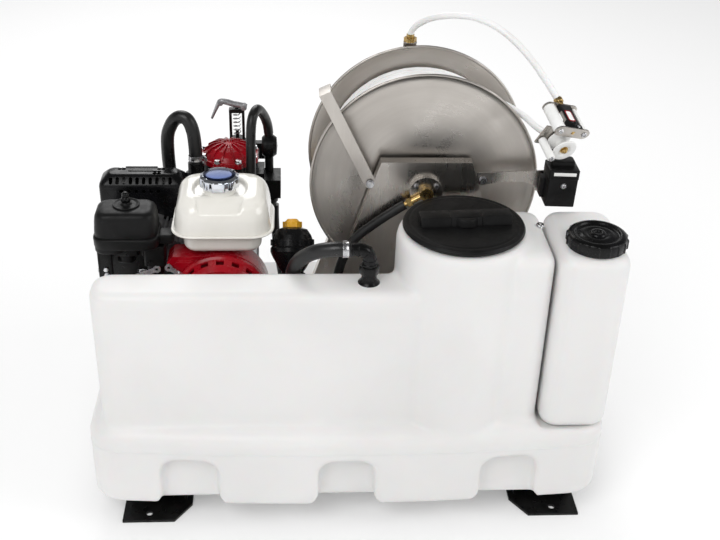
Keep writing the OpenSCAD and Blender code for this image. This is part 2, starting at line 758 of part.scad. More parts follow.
module stand_outline(inset = 0) {
    half = stand_top_l / 2 - inset;
    low = half + stand_lean * (stand_top - deck_z);
    polygon([[-half, stand_top - inset], [half, stand_top - inset], [low, deck_z + 0.3 + inset],
        [-low, deck_z + 0.3 + inset]]);
}
module stand() {
    difference() {
        union() {
            difference() {
                rotate([90, 0, 0]) translate([0, 0, -stand_lip]) linear_extrude(stand_lip) stand_outline();
                rotate([90, 0, 0]) translate([0, 0, -stand_lip - 1])
                    linear_extrude(stand_lip + 1 - sheet) stand_outline(sheet);
            }
            along_y(0, -11.5, reel_z) cylinder(r = 34, h = 12);
            along_y(0, 0, reel_z) cylinder(r = 26, h = 16);
        }
        along_y(0, -20, reel_z) cylinder(r = bearing_r, h = 60);
    }
}
module front_stand() { color("silver") translate([reel_x, stand_y, 0]) stand(); }
module rear_stand() {
    color("silver") {
        translate([reel_x, rear_stand_y, 0]) mirror([0, 1, 0]) stand();
        translate([108, rear_stand_y - 22.5, stand_top]) cube([28, 3, stub_z - stand_top]);
        translate([108, rear_stand_y - 22.5, stand_top]) cube([28, 22, 3]);
        translate([108, rear_stand_y - 30, stub_z - 3]) cube([28, 10, 3]);
    }
}
module stand_bolts() {
    color("lightgray") {
        for (a = [35, 145, 270])
            translate([reel_x + 25 * cos(a), stand_y - 13.1, reel_z + 25 * sin(a)])
                rotate([90, 0, 0]) bolt_head(8, 5);
        for (p = [[30, 689], [263, 698]])
            translate([p.x, stand_y - 6.4, p.y]) rotate([90, 0, 0]) {
                hex(13, 6);
                translate([0, 0, -1]) cylinder(d = 17, h = 1.5);
            }
        for (x = [-80, 30, 262, 372], y = [stand_y + 14, rear_stand_y - 14])
            translate([x, y, deck_z + 0.3 + sheet + 1.5]) bolt_head(13, 6);
    }
}
module reel_shaft() {
    color("silver")
    along_y(reel_x, shaft_front, reel_z) cylinder(d = axle_d, h = rear_stand_y + 14 - shaft_front);
}
module flange(y, out) {
    along_y(reel_x, y, reel_z)
        difference() {
            union() {
                cylinder(r = reel_d / 2 - 2, h = 2);
                translate([0, 0, 1])
                    rotate_extrude() translate([reel_d / 2 - 3, 0]) circle(d = 6, $fn = 24);
                translate([0, 0, out > 0 ? 1.9 : -9.9]) cylinder(r = 30, h = 10);
            }
            translate([0, 0, -20]) cylinder(d = axle_d + 0.02, h = 40);
        }
}
module reel_flanges() {
    color("silver") {
        flange(reel_front, -1);
        flange(reel_back - 2, 1);
    }
}
module drum_core() {
    color("darkgray")
    along_y(reel_x, reel_front + 2.1, reel_z)
        difference() {
            cylinder(r = drum_r, h = reel_w - 0.2);
            translate([0, 0, 2]) cylinder(r = drum_r - 2, h = reel_w - 4.2);
            translate([0, 0, -1]) cylinder(d = axle_d + 0.02, h = reel_w + 2);
        }
}
// The outer layer winds as one unbroken tube over the plain core of the layers below
module hose_winding() {
    rings = 24;
    layer_r = wind_r - hose_d / 2;
    run = reel_w - hose_d - 3;
    start = reel_front + 3.5 + hose_d / 2;
    steps = floor(turns * rings);
    function at(i) = let (a = 360 * i / rings + 40)
        [reel_x + layer_r * cos(a), start + run * i / steps, reel_z + layer_r * sin(a)];
    echo(str("hose winding least gap ", min([for (i = [0:rings / 2], j = [0:rings])
        norm(at(i) - at(i + rings / 2 + j))]) - hose_d));
    color("white") {
        tube([for (i = [0:steps]) at(i)], hose_d, 6);
        along_y(reel_x, reel_front + 2.3, reel_z)
            ring(layer_r - hose_d / 2 - 0.6, drum_r + 0.1, reel_w - 0.6);
    }
}
swivel_y = -109;
module swivel_joint() {
    color("goldenrod") {
        along_y(reel_x, swivel_y, reel_z) cylinder(d = 28, h = shaft_front - swivel_y - 0.4);
        translate([reel_x, swivel_y + 6, reel_z]) rotate([0, -90 - 30, 0]) {
            cylinder(d = 11, h = 50);
            translate([0, 0, 34]) hex(17, 10);
        }
    }
}
delivery_route = [[102.6, -103, 647], [88, -102, 637], [43, -101, 603], [2, -101, 566], [-22, -101, 520],
    [-38, -100, 460], [-58, -100, 390], [-90, -100, 330], [-130, -92, 298], [-146, -50, 286],
    [-146, 60, 284], [-152, 150, 302], [-168, 212, 380], [-172, 226, 440], [-172, 226, 479.7]];
module delivery_hose() { color("black") tube(spline(delivery_route, 3), 20, 10, [[-0.87, 0, -0.5], [0, 0, 1]]); }
module hose_keeper() {
    lean = atan2(885 - 689, -66 - 30);
    reach = 216;
    color("silver")
    translate([30, stand_y - 3.2, 689]) rotate([0, -lean, 0]) {
        difference() {
            union() {
                translate([0, 0, -12.5]) cube([reach, 3, 25]);
                rotate([-90, 0, 0]) cylinder(r = 12.5, h = 3);
            }
            translate([0, -1, 0]) rotate([-90, 0, 0]) cylinder(d = 8.6, h = 6);
        }
        translate([reach - 3, 0, -12.5]) cube([3, 44, 25]);
    }
}

// ---- Hose guide ----
module guide_arm() {
    color("silver")
    translate([0, stand_y - 0.4, 0])
        rotate([90, 0, 0])
            linear_extrude(3)
                difference() {
                    polygon([[250, 713], [398, 719], [412, 700], [412, 676], [386, 671], [376, 673], [368, 686],
                        [352, 692], [300, 693], [262, 684], [250, 690]]);
                    translate([263, 698]) circle(d = 8.6);
                }
}
module guide_housing() {
    color("black")
    translate([416, -93.6, 708]) rotate([0, 2, 0]) {
        translate([-30, -54, -37]) cube([60, 54, 74]);
        translate([-38, -30, -26]) cube([8.1, 26, 26]);
        translate([-26, -40, 36.9]) cube([50, 32, 14]);
    }
    color("silver")
    for (p = [[420, 727], [413, 689]])
        translate([p.x, -147.5, p.y]) rotate([90, 0, 0]) cylinder(d = 8, h = 2.2);
}
roller_l = 62;
right_roller_x = 60;
module guide_place() {
    translate([391, -165, 842]) rotate([0, 0, 15]) rotate([24, 0, 0]) rotate([0, 18, 0]) children();
}
module guide_plate(y) {
    translate([0, y, 0])
        rotate([90, 0, 0])
            linear_extrude(3)
                difference() {
                    union() {
                        translate([0, -12]) square([right_roller_x, 24]);
                        for (x = [0, right_roller_x]) translate([x, 0]) circle(12);
                    }
                    for (x = [0, right_roller_x]) translate([x, 0]) circle(d = 6.1);
                }
}
module guide_frame() {
    color("silver") guide_place() {
        guide_plate(-0.4);
        guide_plate(roller_l + 3.4);
    }
    color("dimgray") guide_place() {
        translate([15, -0.5, 6]) cube([34, roller_l + 1, 6]);
        translate([-12, 20, -60]) cube([64, 4, 46]);
        translate([16, 20, -14.1]) cube([32, 4, 20.2]);
        translate([28, 23.9, -78]) cube([26, 12, 24]);
    }
}
module roller(r, l, pin) {
    rotate([-90, 0, 0]) {
        cylinder(r = r, h = l);
        translate([0, 0, -pin]) cylinder(d = 6, h = l + 2 * pin);
    }
}
module left_roller() { color("white") guide_place() roller(12, roller_l, 3.6); }
module right_roller() { color("white") guide_place() translate([right_roller_x, 0, 0]) roller(8, roller_l, 3.6); }
low_roller_at = [-4, -34, -47];
module lower_roller() {
    color("white") guide_place() translate(low_roller_at) {
        roller(8, 52, 0);
        translate([0, 52, 0]) rotate([-90, 0, 0]) cylinder(d = 6, h = 1.6);
    }
}
module guide_spool() {
    color("white") guide_place() translate([34, -14, -40]) rotate([-90, 0, 0])
        rotate_extrude()
            polygon([[0, 0], [26, 0], [26, 3], [15, 11], [13, 16], [15, 21], [26, 29], [26, 32], [0, 32]]);
}
module parking_stub() {
    color("goldenrod")
    translate([122, rear_stand_y - 24.5, stub_z + 0.1]) {
        hex(24, 9);
        cylinder(d = 17, h = 16);
    }
}
arch_route = [[122, 132.5, 933.4], [126, 130, 944], [136, 120, 960], [155, 100, 977], [186, 70, 991],
    [232, 33, 999], [284, -10, 980], [338, -52, 934], [380, -77, 894], [399.7, -88.6, 873.1]];
module arch_hose() {
    color("white") tube(spline(arch_route, 3), hose_d, 10, [[0, 0, 1], unit([0.4, -0.7, -0.6])]);
    color("goldenrod") guide_place()
        translate([27, 78, 8]) rotate([90, 0, 0]) {
            translate([0, 0, -3]) cylinder(d = 18, h = 9);
            translate([0, 0, 5.9]) cylinder(d = 13, h = 6.4);
        }
}
function on_reel(a, y) = [reel_x + (wind_r + hose_d / 2 + 1) * cos(a), y, reel_z + (wind_r + hose_d / 2 + 1) * sin(a)];
lead_route = [on_reel(100, 6), on_reel(90, 5), on_reel(80, 3), on_reel(70, 0), [268, -5, 848], [312, -14, 832],
    [346, -30, 816], [366, -60, 806], [377, -90, 806], [383.6, -112, 811], [386.2, -123.5, 817.5]];
module lead_hose() {
    p = spline(lead_route, 3);
    color("white") tube(p, hose_d, 10, [unit(p[1] - p[0]), unit([0.2, -0.95, 0.1])]);
}

main_tank();
basket_strainer();
neck_ring();
main_lid();
rinse_tank();
rinse_cap();
left_skid();
right_skid();
outlet_fitting();
suction_hose();
hose_clamps();
filter_body();
filter_valve_cap();
engine_plate();
crankcase();
fan_cover();
recoil_cover();
starter_grip();
fuel_tank();
fuel_cap();
air_cleaner();
air_cleaner_knob();
muffler();
muffler_guard();
carburettor();
throttle_lever();
choke_lever();
engine_switch();
spark_plug();
oil_filler_cap();
pump_body();
pump_heads();
pump_head_bolts();
damper();
regulator_body();
regulator_spring();
regulator_lever();
suction_manifold();
loop_hose();
bypass_hose();
front_stand();
rear_stand();
stand_bolts();
reel_shaft();
reel_flanges();
drum_core();
hose_winding();
swivel_joint();
delivery_hose();
hose_keeper();
guide_arm();
guide_housing();
guide_frame();
left_roller();
right_roller();
lower_roller();
guide_spool();
parking_stub();
arch_hose();
lead_hose();
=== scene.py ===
"""Looks of a skid-mounted sprayer: tank, engine, pump, hose reel and hose guide."""

import json
import math

import bmesh
import bpy
from bpy.props import (
    FloatProperty,
    FloatVectorProperty,
    IntProperty,
    PointerProperty,
)
from mathutils import Matrix, Vector
from mathutils.bvhtree import BVHTree

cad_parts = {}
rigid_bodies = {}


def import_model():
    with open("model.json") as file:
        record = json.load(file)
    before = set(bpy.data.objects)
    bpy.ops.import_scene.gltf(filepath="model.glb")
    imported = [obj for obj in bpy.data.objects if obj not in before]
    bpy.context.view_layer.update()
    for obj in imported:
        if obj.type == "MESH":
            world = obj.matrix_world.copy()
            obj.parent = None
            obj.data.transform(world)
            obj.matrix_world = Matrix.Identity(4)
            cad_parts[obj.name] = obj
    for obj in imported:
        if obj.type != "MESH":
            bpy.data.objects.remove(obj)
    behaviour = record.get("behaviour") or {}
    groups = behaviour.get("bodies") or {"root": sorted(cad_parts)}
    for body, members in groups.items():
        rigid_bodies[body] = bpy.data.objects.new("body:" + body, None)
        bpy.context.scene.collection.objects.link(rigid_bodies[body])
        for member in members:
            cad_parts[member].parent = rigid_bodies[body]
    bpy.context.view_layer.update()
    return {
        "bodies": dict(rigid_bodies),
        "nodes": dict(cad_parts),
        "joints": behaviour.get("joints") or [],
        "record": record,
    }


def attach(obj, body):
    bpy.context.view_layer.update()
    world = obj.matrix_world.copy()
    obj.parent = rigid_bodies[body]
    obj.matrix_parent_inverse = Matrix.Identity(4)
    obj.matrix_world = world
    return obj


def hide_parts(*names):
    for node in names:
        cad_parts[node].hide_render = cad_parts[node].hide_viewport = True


bl_info = {
    "name": "Skid Sprayer Looks",
    "version": (1, 0, 0),
    "blender": (4, 5, 0),
    "location": "View3D > Sidebar > Sprayer",
    "description": "Builds the visible skins, hoses and finishes around the packed sprayer frame",
    "category": "Object",
}

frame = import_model()
NODES = frame["nodes"]
SLOT_OF = {
    part["node"]: part["material_slot"] for part in frame["record"]["subparts"]
}
MM = 0.001


def mm(*values):
    """A point or number given in millimetres, in metres."""
    if len(values) == 1:
        return values[0] * MM
    return Vector([v * MM for v in values])


def points_mm(rows):
    """A list of points given in millimetres."""
    return [mm(*row) for row in rows]


# ---- Shader node groups and finishes ----


def new_group(name, inputs, outputs):
    """An empty shader node group with these named sockets."""
    group = bpy.data.node_groups.new(name, "ShaderNodeTree")
    kinds = {"f": "NodeSocketFloat", "c": "NodeSocketColor", "v": "NodeSocketVector"}
    for side, rows in (("INPUT", inputs), ("OUTPUT", outputs)):
        for row in rows:
            socket = group.interface.new_socket(
                name=row[0], in_out=side, socket_type=kinds[row[1]]
            )
            if len(row) > 2:
                socket.default_value = row[2]
    ends = (group.nodes.new("NodeGroupInput"), group.nodes.new("NodeGroupOutput"))
    return group, ends[0], ends[1]


def add(tree, kind, **values):
    """A node of this kind, with its properties and unlinked inputs set."""
    node = tree.nodes.new(kind)
    for key, value in values.items():
        if key in node.inputs:
            node.inputs[key].default_value = value
        else:
            setattr(node, key, value)
    return node


def wire(tree, source, output, target, socket):
    tree.links.new(source.outputs[output], target.inputs[socket])


def combined(tree, kind, *sources, **values):
    """A node of this kind fed in order by (node, output) pairs or plain values."""
    node = add(tree, kind, **values)
    for i, source in enumerate(sources):
        if isinstance(source, tuple):
            wire(tree, *source, node, i)
        elif source is not None:
            node.inputs[i].default_value = source
    return node


def maths(tree, operation, *sources, **values):
    return combined(tree, "ShaderNodeMath", *sources, operation=operation, **values)


def noise(tree, scale_from, scale_socket, times, detail, coords, distortion=0.0):
    """Noise over object space, its scale taken from a group input."""
    grain = add(tree, "ShaderNodeTexNoise", Detail=detail, Distortion=distortion)
    wire(tree, maths(tree, "MULTIPLY", (scale_from, scale_socket), times), 0, grain, "Scale")
    tree.links.new(coords, grain.inputs["Vector"])
    return grain


def spread(tree, source, output, low, high, new_low=0.0, new_high=1.0):
    """Maps a value's range onto another, with soft ends."""
    node = add(tree, "ShaderNodeMapRange", interpolation_type="SMOOTHSTEP")
    wire(tree, source, output, node, "Value")
    for socket, value in (("From Min", low), ("From Max", high), ("To Min", new_low),
                          ("To Max", new_high)):
        if isinstance(value, tuple):
            wire(tree, value[0], value[1], node, socket)
        else:
            node.inputs[socket].default_value = value
    return node


def mixed(tree, factor, first, second):
    """A colour mix; each argument is (node, output)."""
    node = add(tree, "ShaderNodeMix", data_type="RGBA")
    for source, socket in ((factor, 0), (first, 6), (second, 7)):
        wire(tree, *source, node, socket)
    return node


def group_moulded_skin():
    """Soft colour clouds, uneven gloss and a fine orange-peel height."""
    group, into, out = new_group(
        "Moulded skin",
        [("Light", "c"), ("Dark", "c"), ("Scale", "f", 6.0), ("Gloss Low", "f", 0.3),
         ("Gloss High", "f", 0.5), ("Peel", "f", 40.0)],
        [("Color", "c"), ("Roughness", "f"), ("Height", "f")],
    )
    place = add(group, "ShaderNodeTexCoord").outputs["Object"]
    clouds = noise(group, into, "Scale", 1.0, 5.0, place, 0.4)
    tone = spread(group, clouds, 0, 0.35, 0.68)
    colour = mixed(group, (tone, 0), (into, "Light"), (into, "Dark"))
    smears = noise(group, into, "Scale", 2.6, 4.0, place, 1.2)
    gloss = spread(group, smears, 0, 0.3, 0.7, (into, "Gloss Low"), (into, "Gloss High"))
    peel = noise(group, into, "Peel", 1.0, 2.0, place)
    pits = noise(group, into, "Peel", 6.0, 1.0, place)
    height = maths(group, "MULTIPLY_ADD", (pits, 0), 0.25, (peel, 0))
    wire(group, colour, 2, out, "Color")
    wire(group, gloss, 0, out, "Roughness")
    wire(group, height, 0, out, "Height")
    return group


def group_brush_lines():
    """Long fine lines in one direction, over slow patches, as on brushed sheet; on turned sheets
    the patches run round the axis as painted reflection streaks.
    """
    group, into, out = new_group(
        "Brush lines",
        [("Light", "c"), ("Dark", "c"), ("Stretch", "v", (1.0, 1.0, 60.0)),
         ("Patch Scale", "f", 4.0), ("Gloss Low", "f", 0.25), ("Gloss High", "f", 0.42)],
        [("Color", "c"), ("Roughness", "f"), ("Height", "f"), ("Way", "v")],
    )
    sheet = add(group, "ShaderNodeTexCoord").outputs["Object"]
    disc = add(group, "ShaderNodeAttribute", attribute_name="brush_place")
    turned = add(group, "ShaderNodeAttribute", attribute_name="turned")
    pick = add(group, "ShaderNodeMix", data_type="VECTOR")
    wire(group, turned, "Fac", pick, 0)
    group.links.new(sheet, pick.inputs[4])
    wire(group, disc, "Vector", pick, 5)
    place = pick.outputs[1]
    drawn = add(group, "ShaderNodeVectorMath", operation="MULTIPLY")
    group.links.new(place, drawn.inputs[0])
    wire(group, into, "Stretch", drawn, 1)
    lines = add(group, "ShaderNodeTexNoise", Scale=9.0, Detail=6.0, Roughness=0.75)
    wire(group, drawn, 0, lines, "Vector")
    # On turned sheets these slow patches follow the angle round the axis: painted reflection
    # streaks in the colour and gloss
    patches = noise(group, into, "Patch Scale", 1.0, 4.0, place, 0.8)
    both = maths(group, "MULTIPLY_ADD", (lines, 0), 0.45, (patches, 0))
    tone = spread(group, both, 0, 0.42, 1.0)
    colour = mixed(group, (tone, 0), (into, "Dark"), (into, "Light"))
    gloss = spread(group, both, 0, 0.45, 0.95, (into, "Gloss High"), (into, "Gloss Low"))
    wire(group, colour, 2, out, "Color")
    wire(group, gloss, 0, out, "Roughness")
    wire(group, lines, 0, out, "Height")
    upright = add(group, "ShaderNodeTangent", direction_type="RADIAL", axis="Z")
    around = add(group, "ShaderNodeAttribute", attribute_name="brush_way")
    way = add(group, "ShaderNodeMix", data_type="VECTOR")
    wire(group, turned, "Fac", way, 0)
    wire(group, upright, 0, way, 4)
    wire(group, around, "Vector", way, 5)
    wire(group, way, 1, out, "Way")
    return group


def group_settled_dust():
    """A thin grey film on faces that look up, broken by noise."""
    group, into, out = new_group(
        "Settled dust",
        [("Color", "c"), ("Dust", "c"), ("Amount", "f", 0.1), ("Scale", "f", 14.0)],
        [("Color", "c")],
    )
    place = add(group, "ShaderNodeTexCoord").outputs["Object"]
    shape = add(group, "ShaderNodeNewGeometry")
    split = add(group, "ShaderNodeSeparateXYZ")
    wire(group, shape, "Normal", split, 0)
    up = spread(group, split, "Z", 0.25, 1.0)
    specks = noise(group, into, "Scale", 1.0, 8.0, place, 0.3)
    broken = spread(group, specks, 0, 0.35, 0.75)
    film = maths(group, "MULTIPLY", (up, 0), (broken, 0))
    mask = maths(group, "MULTIPLY", (film, 0), (into, "Amount"), use_clamp=True)
    colour = mixed(group, (mask, 0), (into, "Color"), (into, "Dust"))
    wire(group, colour, 2, out, "Color")
    return group


def group_hair_scratches():
    """Sparse fine scratches in two crossing directions."""
    group, into, out = new_group(
        "Hair scratches",
        [("Color", "c"), ("Scratch", "c"), ("Amount", "f", 0.3), ("Scale", "f", 30.0)],
        [("Color", "c")],
    )
    place = add(group, "ShaderNodeTexCoord").outputs["Object"]
    masks = []
    for turn, stretch in ((0.5, 9.0), (2.1, 13.0)):
        spin = add(group, "ShaderNodeMapping")
        spin.inputs["Rotation"].default_value = (0.3 * turn, 0.2, turn)
        spin.inputs["Scale"].default_value = (1.0, stretch, 1.0)
        group.links.new(place, spin.inputs["Vector"])
        grain = noise(group, into, "Scale", 1.0, 3.0, spin.outputs[0], 0.1)
        masks.append(spread(group, grain, 0, 0.66, 0.72))
    either = maths(group, "MAXIMUM", (masks[0], 0), (masks[1], 0))
    mask = maths(group, "MULTIPLY", (either, 0), (into, "Amount"), use_clamp=True)
    colour = mixed(group, (mask, 0), (into, "Color"), (into, "Scratch"))
    wire(group, colour, 2, out, "Color")
    return group


EFFECTS = {}
FINISHES = {}
DUST_COLOUR = (0.5, 0.48, 0.45, 1)
RELIEF_DEPTH = 0.0006

# Each finish: light and dark tone, then how it is made
FINISH_TABLE = {
    "white_poly": dict(
        light=(0.785, 0.777, 0.77), dark=(0.745, 0.738, 0.73), scale=3.0, gloss=(0.36, 0.48),
        peel=90.0, bump=0.06, dust=0.03, constant={"Subsurface Weight": 0.12,
        "Subsurface Scale": 0.01},
    ),
    "black_poly": dict(
        light=(0.007, 0.007, 0.0073), dark=(0.004, 0.004, 0.004), scale=22.0,
        gloss=(0.34, 0.48), peel=420.0, bump=0.14, dust=0.004, scratch=0.05, soft=0.0012,
        constant={"Specular IOR Level": 0.2},
    ),
    "gloss_black": dict(
        light=(0.005, 0.005, 0.006), dark=(0.003, 0.003, 0.003), scale=26.0,
        gloss=(0.16, 0.3), peel=260.0, bump=0.05, dust=0.004, scratch=0.03, soft=0.001,
        constant={"Specular IOR Level": 0.24},
    ),
    "black_steel": dict(
        light=(0.008, 0.008, 0.008), dark=(0.004, 0.004, 0.004), scale=30.0,
        gloss=(0.26, 0.42), peel=340.0, bump=0.1, dust=0.005, scratch=0.05, soft=0.0012,
        constant={"Specular IOR Level": 0.22},
    ),
    "red_paint": dict(
        light=(0.36, 0.002, 0.01), dark=(0.25, 0.001, 0.006), scale=18.0,
        gloss=(0.18, 0.32), peel=300.0, bump=0.08, dust=0.01, scratch=0.03, soft=0.0016,
        constant={"Coat Weight": 0.15, "Coat Roughness": 0.12, "Specular IOR Level": 0.3},
    ),
    "fuel_white": dict(
        light=(0.84, 0.82, 0.77), dark=(0.79, 0.77, 0.71), scale=9.0,
        gloss=(0.16, 0.26), peel=160.0, bump=0.04, dust=0.05,
        constant={"Coat Weight": 0.6, "Coat Roughness": 0.1},
    ),
    "chrome": dict(
        light=(0.76, 0.78, 0.82), dark=(0.56, 0.6, 0.68), scale=30.0, metal=1.0,
        gloss=(0.05, 0.12), peel=200.0, bump=0.02, scratch=0.2, soft=0.0006,
    ),
    # Dark blue metal on the fuel cap's top stands in for a dark reflection: a painted reflection
    "blued_mirror": dict(
        light=(0.04, 0.06, 0.14), dark=(0.025, 0.038, 0.09), scale=14.0, metal=1.0,
        gloss=(0.1, 0.2), peel=200.0, bump=0.02, scratch=0.05,
    ),
    "stainless": dict(
        light=(0.61, 0.577, 0.54), dark=(0.5, 0.468, 0.432), metal=1.0, scale=3.5,
        lines=(7.0, 7.0, 0.35), gloss=(0.24, 0.38), bump=0.02, soft=0.0008,
        constant={"Anisotropic": 0.6},
    ),
    "zinc": dict(
        light=(0.74, 0.74, 0.75), dark=(0.5, 0.5, 0.52), scale=60.0, metal=1.0,
        gloss=(0.18, 0.34), peel=500.0, bump=0.06, soft=0.0004,
    ),
    "cast_alloy": dict(
        light=(0.47, 0.47, 0.48), dark=(0.3, 0.3, 0.31), scale=45.0, metal=0.85,
        gloss=(0.34, 0.54), peel=520.0, bump=0.3, dust=0.1, soft=0.0012,
    ),
    "black_rubber": dict(
        light=(0.009, 0.009, 0.0095), dark=(0.004, 0.004, 0.0045), scale=16.0,
        gloss=(0.26, 0.44), peel=240.0, bump=0.08, dust=0.02, soft=0.0006,
    ),
    "white_hose": dict(
        light=(0.88, 0.88, 0.88), dark=(0.8, 0.8, 0.79), scale=14.0, gloss=(0.3, 0.42),
        peel=260.0, bump=0.04, dust=0.05, constant={"Subsurface Weight": 0.08,
        "Subsurface Scale": 0.004},
    ),
    "white_roller": dict(
        light=(0.88, 0.88, 0.87), dark=(0.82, 0.82, 0.8), scale=30.0,
        gloss=(0.28, 0.4), peel=400.0, bump=0.04, soft=0.0008,
    ),
    "brass": dict(
        light=(0.66, 0.47, 0.2), dark=(0.42, 0.28, 0.1), scale=50.0, metal=1.0,
        gloss=(0.2, 0.36), peel=420.0, bump=0.08, soft=0.0005,
    ),
    "amber": dict(
        light=(0.78, 0.42, 0.02), dark=(0.62, 0.3, 0.01), scale=24.0,
        gloss=(0.2, 0.34), peel=240.0, bump=0.05, soft=0.001,
    ),
    "filter_mesh": dict(
        light=(0.7, 0.72, 0.74), dark=(0.5, 0.52, 0.55), scale=90.0, gloss=(0.3, 0.5),
        peel=700.0, bump=0.2, soft=0.0006,
    ),
}


def build_finish(name, light, dark, scale, gloss, bump, peel=0.0, metal=0.0,
                 lines=None, dust=0.0, scratch=0.0, soft=0.0, constant=None):
    """A procedural material made from the shared groups with its own values."""
    material = bpy.data.materials.new(name)
    material.use_nodes = True
    tree = material.node_tree
    shader = tree.nodes["Principled BSDF"]
    own = {"Light": (*light, 1), "Dark": (*dark, 1), "Gloss Low": gloss[0],
           "Gloss High": gloss[1]}
    if lines:
        own.update({"Stretch": lines, "Patch Scale": scale})
    else:
        own.update({"Scale": scale, "Peel": peel})
    skin = add(tree, "ShaderNodeGroup", node_tree=EFFECTS["lines" if lines else "skin"], **own)
    if lines:
        wire(tree, skin, "Way", shader, "Tangent")
    last = skin
    if scratch:
        pale = [min(1.0, c * 2.2 + 0.05) for c in light]
        marks = add(tree, "ShaderNodeGroup", node_tree=EFFECTS["scratches"],
                    Scratch=(*pale, 1), Amount=scratch)
        wire(tree, last, "Color", marks, "Color")
        last = marks
    if dust:
        film = add(tree, "ShaderNodeGroup", node_tree=EFFECTS["dust"], Dust=DUST_COLOUR,
                   Amount=dust)
        wire(tree, last, "Color", film, "Color")
        last = film
    wire(tree, last, "Color", shader, "Base Color")
    wire(tree, skin, "Roughness", shader, "Roughness")
    shader.inputs["Metallic"].default_value = metal
    relief = add(tree, "ShaderNodeBump", Strength=bump, Distance=RELIEF_DEPTH)
    wire(tree, skin, "Height", relief, "Height")
    if soft:
        rounded = add(tree, "ShaderNodeBevel", samples=4, Radius=soft)
        wire(tree, rounded, "Normal", relief, "Normal")
    wire(tree, relief, "Normal", shader, "Normal")
    for socket, value in (constant or {}).items():
        shader.inputs[socket].default_value = value
    return material


# ---- Mesh helpers ----


def piece(name, mesh, slot_name, body="root", replaces=(), smooth=35.0):
    """A finished mesh as an object that rides a body, with its slot's finish."""
    mesh.name = name
    obj = bpy.data.objects.new(name, mesh)
    bpy.context.scene.collection.objects.link(obj)
    mesh.materials.clear()
    mesh.materials.append(FINISHES[slot_name])
    shade(obj, smooth)
    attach(obj, body)
    if replaces:
        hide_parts(*replaces)
    return obj


def shade(obj, angle):
    """Smooth shading that keeps edges sharper than this angle in degrees."""
    mesh = obj.data
    for polygon in mesh.polygons:
        polygon.use_smooth = True
    if angle < 180:
        mesh.set_sharp_from_angle(angle=math.radians(angle))


def made(verts, faces):
    """A mesh from points and faces, with outward normals."""
    mesh = bpy.data.meshes.new("made")
    mesh.from_pydata([tuple(v) for v in verts], [], faces)
    shape = bmesh.new()
    shape.from_mesh(mesh)
    bmesh.ops.recalc_face_normals(shape, faces=shape.faces)
    shape.to_mesh(mesh)
    shape.free()
    return mesh


def joined(meshes):
    """Several meshes as one."""
    shape = bmesh.new()
    for mesh in meshes:
        shape.from_mesh(mesh)
        bpy.data.meshes.remove(mesh)
    whole = bpy.data.meshes.new("joined")
    shape.to_mesh(whole)
    shape.free()
    return whole


def placed(mesh, matrix):
    mesh.transform(matrix)
    mesh.update()
    return mesh


def shifted(mesh, *place):
    """The mesh moved by this many millimetres."""
    return placed(mesh, Matrix.Translation(mm(*place)))


def axes(origin, x, y, z):
    """The matrix of a place with these unit directions."""
    turn = Matrix((x, y, z)).transposed().to_4x4()
    return Matrix.Translation(origin) @ turn


def along(origin, direction, roll=0.0):
    """A place whose Z runs along a direction."""
    turn = Vector(direction).normalized().to_track_quat("Z", "Y").to_matrix().to_4x4()
    return Matrix.Translation(origin) @ turn @ Matrix.Rotation(roll, 4, "Z")


def lathe(profile, segments=64, wobble=None):
    """A profile of (radius, height) turned about Z; wobble(angle, radius, height) shifts it."""
    verts, rings = [], []
    for r, z in profile:
        if r < 1e-7:
            rings.append([len(verts)] * segments)
            verts.append((0.0, 0.0, z))
            continue
        ring = []
        for k in range(segments):
            a = math.tau * k / segments
            rr = r + (wobble(a, r, z) if wobble else 0.0)
            ring.append(len(verts))
            verts.append((rr * math.cos(a), rr * math.sin(a), z))
        rings.append(ring)
    faces = []
    for low, high in zip(rings, rings[1:]):
        for k in range(segments):
            m = (k + 1) % segments
            corner = [low[k], low[m], high[m], high[k]]
            face = [c for i, c in enumerate(corner) if c not in corner[:i]]
            if len(face) > 2:
                faces.append(face)
    return made(verts, faces)


def rounded(profile, radius, steps=4):
    """A (radius, height) profile with its inner corners rounded."""
    rows = [Vector(p) for p in profile]
    out = [rows[0]]
    for before, here, after in zip(rows, rows[1:], rows[2:]):
        a, b = before - here, after - here
        cut = min(radius, a.length * 0.45, b.length * 0.45)
        first, last = here + a.normalized() * cut, here + b.normalized() * cut
        for i in range(steps + 1):
            t = i / steps
            out.append((1 - t) ** 2 * first + 2 * t * (1 - t) * here + t * t * last)
    out.append(rows[-1])
    return out


def soft_block(low, high, upright=0.02, edge=0.008, steps=5, foot=None):
    """A box with round upright edges and softened top and bottom edges."""
    shape = bmesh.new()
    bmesh.ops.create_cube(shape, size=1.0)
    low, high = Vector(low), Vector(high)
    for v in shape.verts:
        v.co = Vector((low + high)[i] / 2 + v.co[i] * (high - low)[i] for i in range(3))
    posts = [e for e in shape.edges if abs(e.verts[0].co.z - e.verts[1].co.z) > 1e-6]
    if upright > 0:
        bmesh.ops.bevel(shape, geom=posts, offset=upright, segments=steps,
                        affect="EDGES", profile=0.5)
    for size, z in ((edge, high.z), (edge if foot is None else foot, low.z)):
        if size <= 0:
            continue
        rim = [e for e in shape.edges if all(abs(v.co.z - z) < 1e-6 for v in e.verts)]
        bmesh.ops.bevel(shape, geom=rim, offset=size, segments=steps,
                        affect="EDGES", profile=0.5)
    mesh = bpy.data.meshes.new("soft block")
    shape.to_mesh(mesh)
    shape.free()
    return mesh


